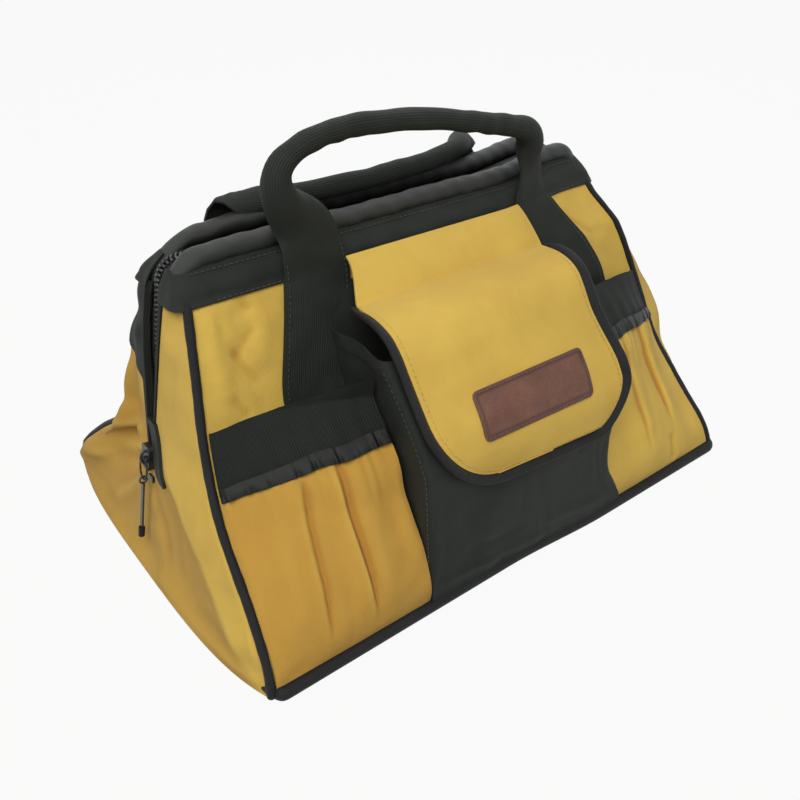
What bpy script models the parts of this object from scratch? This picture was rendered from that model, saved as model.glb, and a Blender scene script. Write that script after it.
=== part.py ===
"""Zip-top tool bag of woven cloth with webbing straps, a flap pocket and a steel-framed mouth.

The origin is the centre of the bag's underside. +X runs along the bag, -Y is the front with the
flap pocket, +Z is up. Lengths are in metres. The front and rear walls lean inwards and swing
outwards about their base seams, so the mouth opens along the undone zip.
"""
import math

import bmesh
import bpy
import numpy as np
from mathutils import Matrix, Vector

# Body
BASE_LENGTH = 0.400
BASE_DEPTH = 0.289
MOUTH_LENGTH = 0.336
MOUTH_DEPTH = 0.060
WALL_HEIGHT = 0.194
BASE_CORNER_RADIUS = 0.008
CLEARANCE = 0.0003
CLOTH = 0.0025
WEBBING = 0.0016
POCKET_CLOTH = 0.0015
wall_height_shares = (0.0, 0.10, 0.22, 0.41, 0.59, 0.80, 1.0)
wall_lean_shares = (1.0, 0.943, 0.779, 0.438, 0.258, 0.132, 0.0)
WALL_BOW_SHARE = 0.22
WALL_ROWS = 16

# Base
BASE_CLOTH = 0.0025
BOARD_THICKNESS = 0.003
BOARD_INSET = 0.009
BASE_PIPING_RADIUS = 0.003
CORNER_PIPING_RADIUS = 0.00275

# Ends
ZIP_FOOT_HEIGHT = 0.095
ZIP_FOOT_CROWN = 0.0051
ZIP_TOP_CROWN = 0.0077
END_BOW = 0.009
EAR_BULGE = 0.024
END_SEAM_GAP = 0.0007
ear_peak_share = 0.75
WING_TOP_DROP = 0.004
SLOT_FOOT_HALF = 0.0032
SLOT_TOP_HALF = 0.0125

# Mouth
SLEEVE_RADIUS = 0.0062
SLEEVE_BORE_RADIUS = 0.0030
SLEEVE_SLIT_DEG = 50.0
ROD_RADIUS = 0.0025
ROD_RISE = 0.0185
ROD_OFFSET = 0.0165
ROD_CORNER_RADIUS = 0.018
ROD_LEG_FOOT = 0.108
FACING_LAP = 0.0025
FACING_TUCK = 0.0055
FACING_THICKNESS = 0.0018

# Zip
TAPE_THICKNESS = 0.0010
ZIP_DROP = 0.0030
ZIP_HALF_GAP = 0.0006
TEETH_WIDTH = 0.0028
TEETH_THICKNESS = 0.0026
TAPE_TOP_EDGE = 0.0098
TAPE_END_EDGE = 0.0155
ZIP_CORNER_RADIUS = 0.015
ZIP_INSET = 0.0032
ZIP_LEG_FOOT = 0.0962

# Straps and handles
STRAP_WIDTH = 0.048
STRAP_SPACING = 0.189
FRONT_STRAP_FOOT = 0.034
REAR_STRAP_FOOT = 0.009
STRAP_RISE = 0.0035
HANDLE_FOOT_GAP = 0.0008
HANDLE_RISE = 0.052
HANDLE_LEAN = 0.004
GRIP_RADIUS = 0.0085
HANDLE_FOOT_THICKNESS = 0.0020
front_handle_shares = (
    (-1.00, 0.00), (-1.01, 0.20), (-1.03, 0.42), (-1.03, 0.64), (-0.96, 0.84), (-0.81, 0.96), (-0.58, 1.02),
    (-0.22, 1.00), (0.06, 0.93), (0.36, 0.80), (0.64, 0.65), (0.84, 0.52), (0.96, 0.36), (1.00, 0.19), (1.00, 0.00))
front_handle_width_shares = (
    1.0, 0.95, 0.76, 0.56, 0.40, 0.35, 0.35, 0.35, 0.35, 0.35, 0.38, 0.52, 0.74, 0.94, 1.0)
rear_handle_shares = (
    (-1.00, 0.00, 0.00), (-1.00, 0.03, 0.14), (-1.00, 0.00, 0.28), (-0.98, -0.12, 0.38), (-0.92, -0.27, 0.42),
    (-0.81, -0.42, 0.39), (-0.65, -0.53, 0.32), (-0.44, -0.59, 0.26), (-0.16, -0.61, 0.23), (0.16, -0.61, 0.23),
    (0.44, -0.59, 0.26), (0.65, -0.53, 0.32), (0.81, -0.42, 0.39), (0.92, -0.27, 0.42), (0.98, -0.12, 0.38),
    (1.00, 0.00, 0.28), (1.00, 0.03, 0.14), (1.00, 0.00, 0.00))
rear_handle_width_shares = (
    1.0, 0.96, 0.82, 0.64, 0.50, 0.41, 0.36, 0.35, 0.35, 0.35, 0.35, 0.36, 0.41, 0.50, 0.64, 0.82, 0.96, 1.0)
rear_handle_turn_shares = (
    0.0, 0.10, 0.30, 0.55, 0.75, 0.90, 1.0, 1.0, 1.0, 1.0, 1.0, 1.0, 0.90, 0.75, 0.55, 0.30, 0.10, 0.0)

# Centre pocket and flap
POCKET_WIDTH = 0.172
POCKET_CORNER_RADIUS = 0.012
POCKET_DROP = 0.036
POCKET_MOUTH = 0.0557
POCKET_FOOT_BULGE = 0.0033
pocket_height_shares = (0.0, 0.28, 0.50, 0.61, 0.73, 0.83, 0.91, 1.0)
pocket_reach_shares = (1.0, 0.965, 0.915, 0.865, 0.675, 0.435, 0.22, 0.0)
FLAP_WIDTH = 0.156
FLAP_THICKNESS = 0.0025
FLAP_CREASE_OUT = 0.0223
FLAP_CREASE_DROP = 0.0183
FLAP_FALL = 0.0942
FLAP_LIFT = 0.0057
FLAP_CORNER_RADIUS = 0.030
flap_top_shares = (0.0, 0.49, 0.88)
flap_lift_shares = (1.05, 1.56, 1.34, 1.26, 1.02, 1.0)
flap_drop_shares = (0.0, -0.005, 0.04, 0.14, 0.295, 0.44, 0.60, 0.79, 1.0)
BINDING_RADIUS = 0.0026
YOKE_LAP = 0.0055
PATCH_WIDTH = 0.095
PATCH_HEIGHT = 0.033
PATCH_THICKNESS = 0.0016
PATCH_CENTRE_SHARE = 0.655
STRIP_WIDTH = 0.080
STRIP_HEIGHT = 0.018
STRIP_THICKNESS = 0.0011
STRIP_CENTRE_SHARE = 0.70

# Side pockets
BAND_FOOT = 0.0965
BAND_TOP = 0.1310
BAND_THICKNESS = 0.0016
SIDE_POCKET_BULGE = 0.034
side_pocket_height_shares = (0.0, 0.18, 0.37, 0.57, 0.73, 0.87, 1.0)
side_pocket_bulge_shares = (0.02, 0.25, 0.55, 0.88, 1.0, 0.70, 0.34)

# Slider and pull
SLIDER_LENGTH = 0.0165
SLIDER_WIDTH = 0.0110
SLIDER_THICKNESS = 0.0046
SLIDER_DROP = 0.0105
BRIDGE_RADIUS = 0.0034
BRIDGE_WIRE = 0.0010
RING_WIDTH = 0.0115
RING_LENGTH = 0.0170
RING_WIRE = 0.0007
TAB_LENGTH = 0.033
TAB_WIDTH = 0.0030
TAB_THICKNESS = 0.0012
EYE_RADIUS = 0.0024
EYE_WIRE = 0.0007
TIP_LENGTH = 0.007
TIP_RADIUS = 0.0021
STOP_LENGTH = 0.004
STOP_WIDTH = 0.006
STOP_THICKNESS = 0.0016


def sign(word):
    """-1 towards the front or the left, and 1 towards the rear or the right."""
    return {"front": -1, "rear": 1, "left": -1, "right": 1}[word]


def clear_scene():
    """Removes what the file opened with."""
    for old in list(bpy.data.objects):
        bpy.data.objects.remove(old, do_unlink=True)


def finish(name, colour, roughness, metallic=0.0):
    """A Principled material of one colour."""
    material = bpy.data.materials.get(name) or bpy.data.materials.new(name)
    material.use_nodes = True
    shader = material.node_tree.nodes["Principled BSDF"]
    shader.inputs["Base Color"].default_value = (*colour, 1.0)
    shader.inputs["Roughness"].default_value = roughness
    shader.inputs["Metallic"].default_value = metallic
    return material


def yellow_cloth():
    return finish("yellow_cloth", (0.66, 0.45, 0.12), 0.85)


def black_cloth():
    return finish("black_cloth", (0.020, 0.021, 0.020), 0.80)


def black_webbing():
    return finish("black_webbing", (0.030, 0.031, 0.030), 0.70)


def black_piping():
    return finish("black_piping", (0.015, 0.015, 0.016), 0.60)


def brown_leather():
    return finish("brown_leather", (0.19, 0.085, 0.055), 0.55)


def steel():
    return finish("steel", (0.55, 0.56, 0.58), 0.35, 1.0)


def brown_board():
    return finish("brown_board", (0.22, 0.15, 0.09), 0.90)


def black_metal():
    return finish("black_metal", (0.025, 0.025, 0.027), 0.40, 0.6)


def place(name, mesh, material):
    """An object of the mesh, in the scene, with one material."""
    piece = bpy.data.objects.new(name, mesh)
    mesh.materials.append(material)
    bpy.context.scene.collection.objects.link(piece)
    return piece


def hermite(at, places, values):
    """A smooth curve through values at rising places, with mean slopes at the inner places."""
    places = np.asarray(places, float)
    values = np.asarray(values, float)
    steps = np.diff(places)
    rises = np.diff(values) / steps
    slopes = np.concatenate([rises[:1], (rises[:-1] * steps[1:] + rises[1:] * steps[:-1])
                             / (steps[:-1] + steps[1:]), rises[-1:]])
    at = np.clip(np.asarray(at, float), places[0], places[-1])
    k = np.clip(np.searchsorted(places, at, side="right") - 1, 0, len(steps) - 1)
    t = (at - places[k]) / steps[k]
    h = steps[k]
    return (values[k] * (1 + 2 * t) * (1 - t) ** 2 + slopes[k] * h * t * (1 - t) ** 2
            + values[k + 1] * t * t * (3 - 2 * t) + slopes[k + 1] * h * t * t * (t - 1))


def curved_depth(z):
    """The wall's smooth profile: half the bag's depth at a height."""
    lean = hermite(np.asarray(z) / WALL_HEIGHT, wall_height_shares, wall_lean_shares)
    return (MOUTH_DEPTH + (BASE_DEPTH - MOUTH_DEPTH) * lean) / 2


def wall_foot():
    """Height at which the walls start, just over the base piping."""
    return 2 * BASE_PIPING_RADIUS + 2 * CLEARANCE


def rod_height():
    """Height of the frame rods along the mouth."""
    return WALL_HEIGHT + ROD_RISE


def facing_foot():
    """Height of the facing's lower edge, lapped over the top of the wall's cloth."""
    return WALL_HEIGHT - FACING_LAP


def facing_top():
    """Height of the facing's upper edge, tucked beside the sleeve."""
    return rod_height() - FACING_TUCK


def strap_top():
    """Height at which the straps end and the handles start."""
    return rod_height() + STRAP_RISE


def zip_height():
    """Height of the zip over the mouth, a little below the rods."""
    return rod_height() - ZIP_DROP


def yoke_top():
    """Height of the yoke's upper edge, below the facing."""
    return WALL_HEIGHT - YOKE_LAP


def pocket_foot_reach():
    """Reach of the centre pocket's foot, a little past the base's edge."""
    return BASE_DEPTH / 2 + POCKET_FOOT_BULGE


def pocket_rim_reach():
    """Reach of the centre pocket's rim, its mouth's width out from the wall."""
    return float(curved_depth(pocket_rim())) + POCKET_MOUTH


def pocket_rim():
    """Height of the centre pocket's open edge."""
    return WALL_HEIGHT - POCKET_DROP


def flap_crease_height():
    """Height of the crease that the flap swings about."""
    return WALL_HEIGHT - FLAP_CREASE_DROP


def flap_crease_reach():
    """Reach of the flap's crease, out from the wall."""
    return float(curved_depth(flap_crease_height())) + FLAP_CREASE_OUT


def wall_rows():
    """Heights at which every piece on a wall has its rows, so the pieces lie face to face."""
    return np.linspace(wall_foot() + CLEARANCE, WALL_HEIGHT - CLOTH / 2, WALL_ROWS)


def rows_between(low, high):
    """The wall's rows between two heights, with the two heights themselves."""
    rows = wall_rows()
    inner = rows[(rows > low + WEBBING) & (rows < high - WEBBING)]
    return np.concatenate([[low], inner, [high]])


def half_depth(z):
    """How far the wall's outer face stands from the middle plane: the profile, straight between rows."""
    rows = wall_rows()
    z = np.asarray(z, float)
    inside = np.interp(z, rows, curved_depth(rows))
    return np.where((z < rows[0]) | (z > rows[-1]), curved_depth(z), inside)


def half_length(z):
    """How far the corner piping stands from the middle, along the bag, at a height."""
    s = np.asarray(z) / WALL_HEIGHT
    fall = (1 - WALL_BOW_SHARE) * s + WALL_BOW_SHARE * s * s
    return (BASE_LENGTH - (BASE_LENGTH - MOUTH_LENGTH) * fall) / 2


def wall_slope(z):
    """Change of the wall's half depth with height, from two heights a small step apart."""
    step = WALL_HEIGHT / 200
    return (half_depth(z + step) - half_depth(z - step)) / (2 * step)


def wall_at(z, out):
    """Reach from the middle plane and height of a point at a distance out from the wall's face."""
    slope = wall_slope(z)
    length = np.sqrt(1 + slope * slope)
    return half_depth(z) + out / length, z - out * slope / length


def reach_at(z, out):
    """Reach, at a height, of the surface that stands a distance out from the wall's face."""
    slope = wall_slope(z)
    return half_depth(z) + out * np.sqrt(1 + slope * slope)


def zip_foot_half():
    """Half length of the end at the foot of the zip, crowned past the piping."""
    return float(half_length(ZIP_FOOT_HEIGHT)) + ZIP_FOOT_CROWN


def zip_top_half():
    """Half length of the end at the wall's top, crowned past the piping."""
    return MOUTH_LENGTH / 2 + ZIP_TOP_CROWN


def zip_kink():
    """Height at which the end's middle line turns from the zip's slope to the base's."""
    return ZIP_FOOT_HEIGHT - 2 * SLIDER_LENGTH


def zip_line(z):
    """Half length of the end's middle line: straight along the zip, then straight to the base."""
    up = zip_lean()
    foot = zip_kink()
    foot_half = zip_foot_half() - 2 * SLIDER_LENGTH * up
    base_half = BASE_LENGTH / 2 + END_BOW
    down = (base_half - foot_half) * (foot - np.asarray(z)) / foot
    return np.where(z > foot, zip_foot_half() + up * (np.asarray(z) - ZIP_FOOT_HEIGHT), foot_half + down)


def end_at(share, z, ear):
    """Half length of the end's outer face at a share of the half depth, bulging by ear beside the piping."""
    middle = zip_line(z)
    edge = half_length(z)
    bulge = np.sin(math.pi * np.abs(share) ** (math.log(0.5) / math.log(ear_peak_share)))
    rise = np.sin(math.pi * np.clip(np.asarray(z) / WALL_HEIGHT, 0, 1)) ** 2
    return edge + (middle - edge) * (1 - np.abs(share) ** 3) + ear * bulge * rise


def grid_mesh(name, points):
    """A mesh of quads over a grid of points."""
    rows, columns = points.shape[:2]
    index = np.arange(rows * columns).reshape(rows, columns)
    quads = np.stack([index[:-1, :-1], index[:-1, 1:], index[1:, 1:], index[1:, :-1]], axis=-1).reshape(-1, 4)
    mesh = bpy.data.meshes.new(name)
    mesh.from_pydata(points.reshape(-1, 3).tolist(), [], quads.tolist())
    return mesh


def sheet(name, points, thickness, outward, material):
    """A sheet whose outer face is the grid, thickened away from the outward direction."""
    mesh = grid_mesh(name, points)
    mean = sum((face.normal * face.area for face in mesh.polygons), Vector((0, 0, 0)))
    if mean.dot(Vector(outward)) < 0:
        mesh.flip_normals()
    mesh.shade_smooth()
    piece = place(name, mesh, material)
    wall = piece.modifiers.new("thickness", "SOLIDIFY")
    wall.thickness = thickness
    wall.offset = -1
    wall.use_even_offset = True
    return piece


def cord(name, points, radius, material, cyclic=False, resolution=2):
    """A round cord or rod along points, with closed ends."""
    curve = bpy.data.curves.new(name, "CURVE")
    curve.dimensions = "3D"
    curve.bevel_depth = radius
    curve.bevel_resolution = resolution
    curve.use_fill_caps = True
    line = curve.splines.new("POLY")
    line.points.add(len(points) - 1)
    for spot, p in zip(line.points, points):
        spot.co = (*p, 1)
    line.use_cyclic_u = cyclic
    return place(name, curve, material)


def loft(name, rings, material):
    """A closed solid through rings of points, with flat ends."""
    count, sides = rings.shape[:2]
    mesh = bpy.data.meshes.new(name)
    index = np.arange(count * sides).reshape(count, sides)
    following = np.roll(index, -1, axis=1)
    quads = np.stack([index[:-1], following[:-1], following[1:], index[1:]], axis=-1).reshape(-1, 4).tolist()
    ends = [index[0].tolist(), index[-1][::-1].tolist()]
    mesh.from_pydata(rings.reshape(-1, 3).tolist(), [], quads + ends)
    shape = bmesh.new()
    shape.from_mesh(mesh)
    bmesh.ops.recalc_face_normals(shape, faces=shape.faces)
    shape.to_mesh(mesh)
    shape.free()
    mesh.shade_smooth()
    mesh.set_sharp_from_angle(angle=math.radians(40))
    return place(name, mesh, material)


def wire(name, points, radius, material, cyclic=False, sides=8):
    """A round wire as a mesh, closed into a loop or with flat ends."""
    spots = np.array(points)
    if cyclic:
        along = np.roll(spots, -1, axis=0) - np.roll(spots, 1, axis=0)
    else:
        along = np.gradient(spots, axis=0)
    along /= np.linalg.norm(along, axis=1)[:, None]
    side = np.cross(spots[0] - spots[len(spots) // 3], spots[1] - spots[2 * len(spots) // 3])
    side = side / np.linalg.norm(side)
    up = np.cross(side, along)
    angles = np.linspace(0, 2 * math.pi, sides, endpoint=False)
    rings = spots[:, None, :] + radius * (np.cos(angles)[None, :, None] * side[None, None, :]
                                          + np.sin(angles)[None, :, None] * up[:, None, :])
    if not cyclic:
        return loft(name, rings, material)
    index = np.arange(len(spots) * sides).reshape(len(spots), sides)
    beside = np.roll(index, -1, axis=1)
    quads = np.stack([index, beside, np.roll(beside, -1, axis=0), np.roll(index, -1, axis=0)], axis=-1)
    shape = bmesh.new()
    verts = [shape.verts.new(p) for p in rings.reshape(-1, 3)]
    for quad in quads.reshape(-1, 4):
        shape.faces.new([verts[k] for k in quad])
    return solid_from(name, shape, Matrix.Identity(4), material)


def join_to(target, other, name):
    """Joins another shape to the target with a Boolean, and leaves the other out of the model."""
    step = target.modifiers.new(name, "BOOLEAN")
    step.operation = "UNION"
    step.object = other
    other.hide_render = True
    other.display_type = "WIRE"


def base_outline(inset):
    """The base's plan: straight long sides, round corners and bowed ends, drawn in by inset."""
    length = BASE_LENGTH / 2 - inset
    depth = BASE_DEPTH / 2 - inset
    radius = BASE_CORNER_RADIUS
    corner = []
    for angle in np.linspace(0, math.pi / 2, 4):
        corner.append((length - radius + radius * math.cos(angle), -depth + radius - radius * math.sin(angle)))
    front = [(x, -depth) for x in np.linspace(-(length - radius), length - radius, 9)[1:-1]]
    ys = np.linspace(-(depth - radius), depth - radius, 11)[1:-1]
    end = [(length + END_BOW * (1 - abs(y / (depth - radius)) ** 3), y) for y in ys]
    half = front + corner[::-1] + end + [(x, -y) for x, y in corner]
    return half + [(-x, -y) for x, y in half]


def slab(name, outline, low, high, material):
    """A flat plate between two heights."""
    shape = bmesh.new()
    face = shape.faces.new([shape.verts.new((x, y, low)) for x, y in outline])
    raised = bmesh.ops.extrude_face_region(shape, geom=[face])
    risen = [item for item in raised["geom"] if isinstance(item, bmesh.types.BMVert)]
    bmesh.ops.translate(shape, verts=risen, vec=(0, 0, high - low))
    bmesh.ops.recalc_face_normals(shape, faces=shape.faces)
    mesh = bpy.data.meshes.new(name)
    shape.to_mesh(mesh)
    shape.free()
    return place(name, mesh, material)


def build_base():
    """Bottom cloth, board and the piping round the bottom seam."""
    cloth_inset = BASE_PIPING_RADIUS + CLEARANCE
    slab("base_cloth", base_outline(cloth_inset), 0, BASE_CLOTH, black_cloth())
    floor = BASE_CLOTH + CLEARANCE
    slab("base_board", base_outline(BOARD_INSET), floor, floor + BOARD_THICKNESS, brown_board())
    loop = [(x, y, BASE_PIPING_RADIUS) for x, y in base_outline(0)]
    cord("base_piping", loop, BASE_PIPING_RADIUS, black_piping(), cyclic=True)


def build_gusset(word, ear):
    """The end's lower cloth, from the base to the foot of the zip."""
    side = sign(word)
    heights = rows_between(wall_foot() + CLOTH / 2, ZIP_FOOT_HEIGHT - END_SEAM_GAP)
    heights = np.append(heights[np.abs(heights - zip_kink()) > WEBBING], zip_kink())
    heights = np.sort(heights)
    shares = np.linspace(-1, 1, 17)
    z = np.repeat(heights[:, None], len(shares), axis=1)
    reach = half_depth(z) - CORNER_PIPING_RADIUS - CLEARANCE - CLOTH / 2
    y = shares * reach
    x = side * end_at(shares[None, :] * np.ones_like(z), z, ear)
    sheet(f"{word}_gusset", np.stack([x, y, z], axis=-1), CLOTH, (side, 0, 0), yellow_cloth())


def slot_half(z):
    """Half width of the opening between the wings at a height, narrow at the foot of the zip."""
    share = (z - ZIP_FOOT_HEIGHT) / (WALL_HEIGHT - ZIP_FOOT_HEIGHT)
    return SLOT_FOOT_HALF + (SLOT_TOP_HALF - SLOT_FOOT_HALF) * share


def build_wing(wall, side, ear, name):
    """The end's upper cloth on one side of the zip. It moves with the wall."""
    heights = rows_between(ZIP_FOOT_HEIGHT + END_SEAM_GAP, WALL_HEIGHT - WING_TOP_DROP)
    shares = np.linspace(0, 1, 7)
    z = np.repeat(heights[:, None], len(shares), axis=1)
    inner = slot_half(z)
    outer = half_depth(z) - CORNER_PIPING_RADIUS - CLEARANCE - CLOTH / 2
    y = inner + (outer - inner) * shares[None, :]
    x = side * end_at(y / half_depth(z), z, ear)
    sheet(name, np.stack([x, wall * y, z], axis=-1), CLOTH, (side, 0, 0), yellow_cloth())


def build_panel(wall, name):
    """The wall's cloth between its two corner pipings."""
    heights = wall_rows()
    z = np.repeat(heights[:, None], 9, axis=1)
    reach = half_length(z) - CORNER_PIPING_RADIUS - CLEARANCE
    x = np.linspace(-1, 1, 9)[None, :] * reach
    sheet(name, np.stack([x, wall * half_depth(z), z], axis=-1), CLOTH, (0, wall, 0), yellow_cloth())


def build_corner_piping(wall, side, name):
    """The cord in a corner seam, from the base to the mouth."""
    top = facing_foot() - CORNER_PIPING_RADIUS - 2 * CLEARANCE
    heights = rows_between(wall_foot() + CORNER_PIPING_RADIUS, top)
    points = [(side * half_length(z), wall * half_depth(z), z) for z in heights]
    cord(name, points, CORNER_PIPING_RADIUS, black_piping())


def strap_path(foot):
    """Reach and height of a strap's outer face, up the wall and over the facing."""
    heights = rows_between(foot, yoke_top() - CLEARANCE)
    reach, z = wall_at(heights, CLEARANCE + WEBBING)
    over = half_depth(facing_foot()) + 2 * CLEARANCE + FACING_THICKNESS + WEBBING
    top = (over - CLEARANCE, strap_top())
    return np.concatenate([reach, [over, top[0]]]), np.concatenate([z, [facing_foot(), top[1]]])


def build_strap(wall, side, foot, name):
    """A length of webbing sewn up the wall, which the handle grows out of."""
    reach, height = strap_path(foot)
    centre = side * STRAP_SPACING / 2
    across = np.linspace(-STRAP_WIDTH / 2, STRAP_WIDTH / 2, 3)
    x = np.repeat((centre + across)[None, :], len(reach), axis=0)
    y = np.repeat(wall * reach[:, None], 3, axis=1)
    z = np.repeat(height[:, None], 3, axis=1)
    sheet(name, np.stack([x, y, z], axis=-1), WEBBING, (0, wall, 0), black_webbing())


def build_facing(wall, name):
    """The black strip that joins the wall's cloth to the sleeve."""
    foot_reach = half_depth(facing_foot()) + CLEARANCE + FACING_THICKNESS
    top_reach = ROD_OFFSET + SLEEVE_RADIUS + CLEARANCE + FACING_THICKNESS / 2
    shares = np.linspace(0, 1, 5)
    z = facing_foot() + (facing_top() - facing_foot()) * shares
    reach = foot_reach + (top_reach - foot_reach) * shares ** 2
    half = half_length(z) + CORNER_PIPING_RADIUS
    x = np.linspace(-1, 1, 7)[None, :] * half[:, None]
    y = np.repeat(wall * reach[:, None], 7, axis=1)
    sheet(name, np.stack([x, y, np.repeat(z[:, None], 7, axis=1)], axis=-1), FACING_THICKNESS, (0, wall, 0),
          black_cloth())


def rod_path(leg_foot, leg_points):
    """The frame rod's middle line: up one end, along the mouth and down the other end."""
    behind = ZIP_INSET + TEETH_THICKNESS + ROD_RADIUS + CLEARANCE
    lean = zip_lean()
    corner_foot = rod_height() - ROD_CORNER_RADIUS
    x_leg = float(zip_line(corner_foot)) - behind
    leg = [(x_leg + lean * (z - corner_foot), z) for z in np.linspace(leg_foot, corner_foot, leg_points)]
    centre = x_leg - ROD_CORNER_RADIUS
    arc = [(centre + ROD_CORNER_RADIUS * math.cos(a), corner_foot + ROD_CORNER_RADIUS * math.sin(a))
           for a in np.linspace(0, math.pi / 2, 6)[1:]]
    half = leg + arc
    return [(-x, z) for x, z in half] + half[::-1]


def build_rod(wall, name):
    """The steel rod that holds the mouth's shape."""
    points = [(x, wall * ROD_OFFSET, z) for x, z in rod_path(ROD_LEG_FOOT, 3)]
    cord(name, points, ROD_RADIUS, steel(), resolution=1)


def build_sleeve(wall, name):
    """The tube of cloth round the rod, open along a slit below, over the top and round the corners."""
    path = rod_path(rod_height() - ROD_CORNER_RADIUS, 1)
    path = path[:len(path) // 2] + [(0.0, rod_height())] + path[len(path) // 2:]
    slit = math.radians(SLEEVE_SLIT_DEG)
    angles = np.linspace(-math.pi / 2 + slit / 2, 3 * math.pi / 2 - slit / 2, 13)
    outer = np.stack([np.cos(angles), np.sin(angles)], axis=-1) * SLEEVE_RADIUS
    inner = np.stack([np.cos(angles[::-1]), np.sin(angles[::-1])], axis=-1) * SLEEVE_BORE_RADIUS
    section = np.concatenate([outer, inner])
    spots = np.array(path)
    along = np.gradient(spots, axis=0)
    along /= np.linalg.norm(along, axis=1)[:, None]
    up = np.stack([-along[:, 1], along[:, 0]], axis=-1)
    rings = np.zeros((len(spots), len(section), 3))
    rings[:, :, 0] = spots[:, None, 0] + section[None, :, 1] * up[:, None, 0]
    rings[:, :, 1] = wall * ROD_OFFSET + section[None, :, 0]
    rings[:, :, 2] = spots[:, None, 1] + section[None, :, 1] * up[:, None, 1]
    loft(name, rings, black_cloth())


def zip_path():
    """The zip's middle line in the bag's middle plane, with its outward direction and tape edge."""
    corner_foot = zip_height() - ZIP_CORNER_RADIUS
    lean = zip_lean()
    x_leg = float(zip_line(corner_foot)) - ZIP_INSET
    leg = [(x_leg + lean * (z - corner_foot), z, TAPE_END_EDGE)
           for z in (ZIP_LEG_FOOT, (ZIP_LEG_FOOT + corner_foot) / 2, corner_foot - SLEEVE_RADIUS)]
    centre = x_leg - ZIP_CORNER_RADIUS
    arc = [(centre + ZIP_CORNER_RADIUS * math.cos(a), corner_foot + ZIP_CORNER_RADIUS * math.sin(a), TAPE_TOP_EDGE)
           for a in np.linspace(0, math.pi / 2, 6)]
    half = leg + arc
    return [(-x, z, edge) for x, z, edge in half] + half[::-1]


def build_zip_row(wall, name):
    """One row of zip teeth on its tape, over the top and down both ends."""
    path = np.array(zip_path())
    along = np.gradient(path[:, :2], axis=0)
    along /= np.linalg.norm(along, axis=1)[:, None]
    up = np.stack([-along[:, 1], along[:, 0]], axis=-1)
    inner = ZIP_HALF_GAP
    teeth = inner + TEETH_WIDTH
    rings = np.zeros((len(path), 6, 3))
    for k, (x, z, edge) in enumerate(path):
        section = ((inner, 0.0), (teeth, 0.0), (teeth, -TEETH_THICKNESS + TAPE_THICKNESS),
                   (edge, -TEETH_THICKNESS + TAPE_THICKNESS), (edge, -TEETH_THICKNESS), (inner, -TEETH_THICKNESS))
        for i, (out, height) in enumerate(section):
            rings[k, i] = (x + up[k, 0] * height, wall * out, z + up[k, 1] * height)
    loft(name, rings, black_cloth())


def pocket_front(z):
    """Reach of the centre pocket's outer face at a height."""
    share = (z - wall_foot()) / (pocket_rim() - wall_foot())
    reach = hermite(share, pocket_height_shares, pocket_reach_shares)
    return pocket_rim_reach() + (pocket_foot_reach() - pocket_rim_reach()) * reach


def build_centre_pocket(name):
    """The black pocket: two side gussets and a front in one sheet, open at the top."""
    heights = rows_between(wall_foot() + CLOTH, pocket_rim())
    half = POCKET_WIDTH / 2
    rows = []
    for z in heights:
        back = float(reach_at(z, 3 * CLEARANCE + WEBBING))
        front = float(pocket_front(z))
        radius = min(POCKET_CORNER_RADIUS, 0.45 * (front - back))
        side = [(half, back + (front - radius - back) * s) for s in (0.0, 0.5, 1.0)]
        arc = [(half - radius + radius * math.cos(a), front - radius + radius * math.sin(a))
               for a in np.linspace(0, math.pi / 2, 5)[1:]]
        run = [(x, front) for x in np.linspace(half - radius, 0, 4)[1:]]
        right = side + arc + run
        outline = right + [(-x, reach) for x, reach in right[-2::-1]]
        rows.append([(x, -reach, z) for x, reach in outline])
    sheet(name, np.array(rows), POCKET_CLOTH, (0, -1, 0), black_cloth())


def flap_curve(shares):
    """Reach and height of the flap's outer face at shares of its run: over the rim, then off the pocket."""
    knots = np.linspace(0, 1, len(flap_drop_shares))
    heights = flap_crease_height() - FLAP_FALL * np.array(flap_drop_shares)
    over = flap_crease_reach() + (pocket_rim_reach() - flap_crease_reach()) * np.array(flap_top_shares)
    below = np.minimum(heights[len(over):], pocket_rim())
    down = pocket_front(below) + FLAP_LIFT * np.array(flap_lift_shares)
    return hermite(shares, knots, np.concatenate([over, down])), hermite(shares, knots, heights)


def flap_run():
    """Length of the flap from the crease to its free edge, and the run at even shares."""
    shares = np.linspace(0, 1, 65)
    reach, height = flap_curve(shares)
    steps = np.hypot(np.diff(reach), np.diff(height))
    return shares, np.concatenate([[0], np.cumsum(steps)])


def flap_point(run, out):
    """Reach and height of a point at a run down the flap, moved outwards from its face."""
    shares, runs = flap_run()
    share = np.interp(run, runs, shares)
    step = (shares[1] - shares[0]) / 4
    low = flap_curve(np.clip(share - step, 0, 1))
    high = flap_curve(np.clip(share + step, 0, 1))
    along = np.stack([high[0] - low[0], high[1] - low[1]], axis=-1)
    along = along / np.linalg.norm(along, axis=-1, keepdims=True)
    reach, height = flap_curve(share)
    return reach - out * along[..., 1], height + out * along[..., 0]


def flap_half_width(run, length):
    """Half width of the flap at a run, with round lower corners."""
    into = np.clip(run - (length - FLAP_CORNER_RADIUS), 0, FLAP_CORNER_RADIUS)
    return FLAP_WIDTH / 2 - FLAP_CORNER_RADIUS + np.sqrt(np.maximum(FLAP_CORNER_RADIUS ** 2 - into ** 2, 0))


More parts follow.
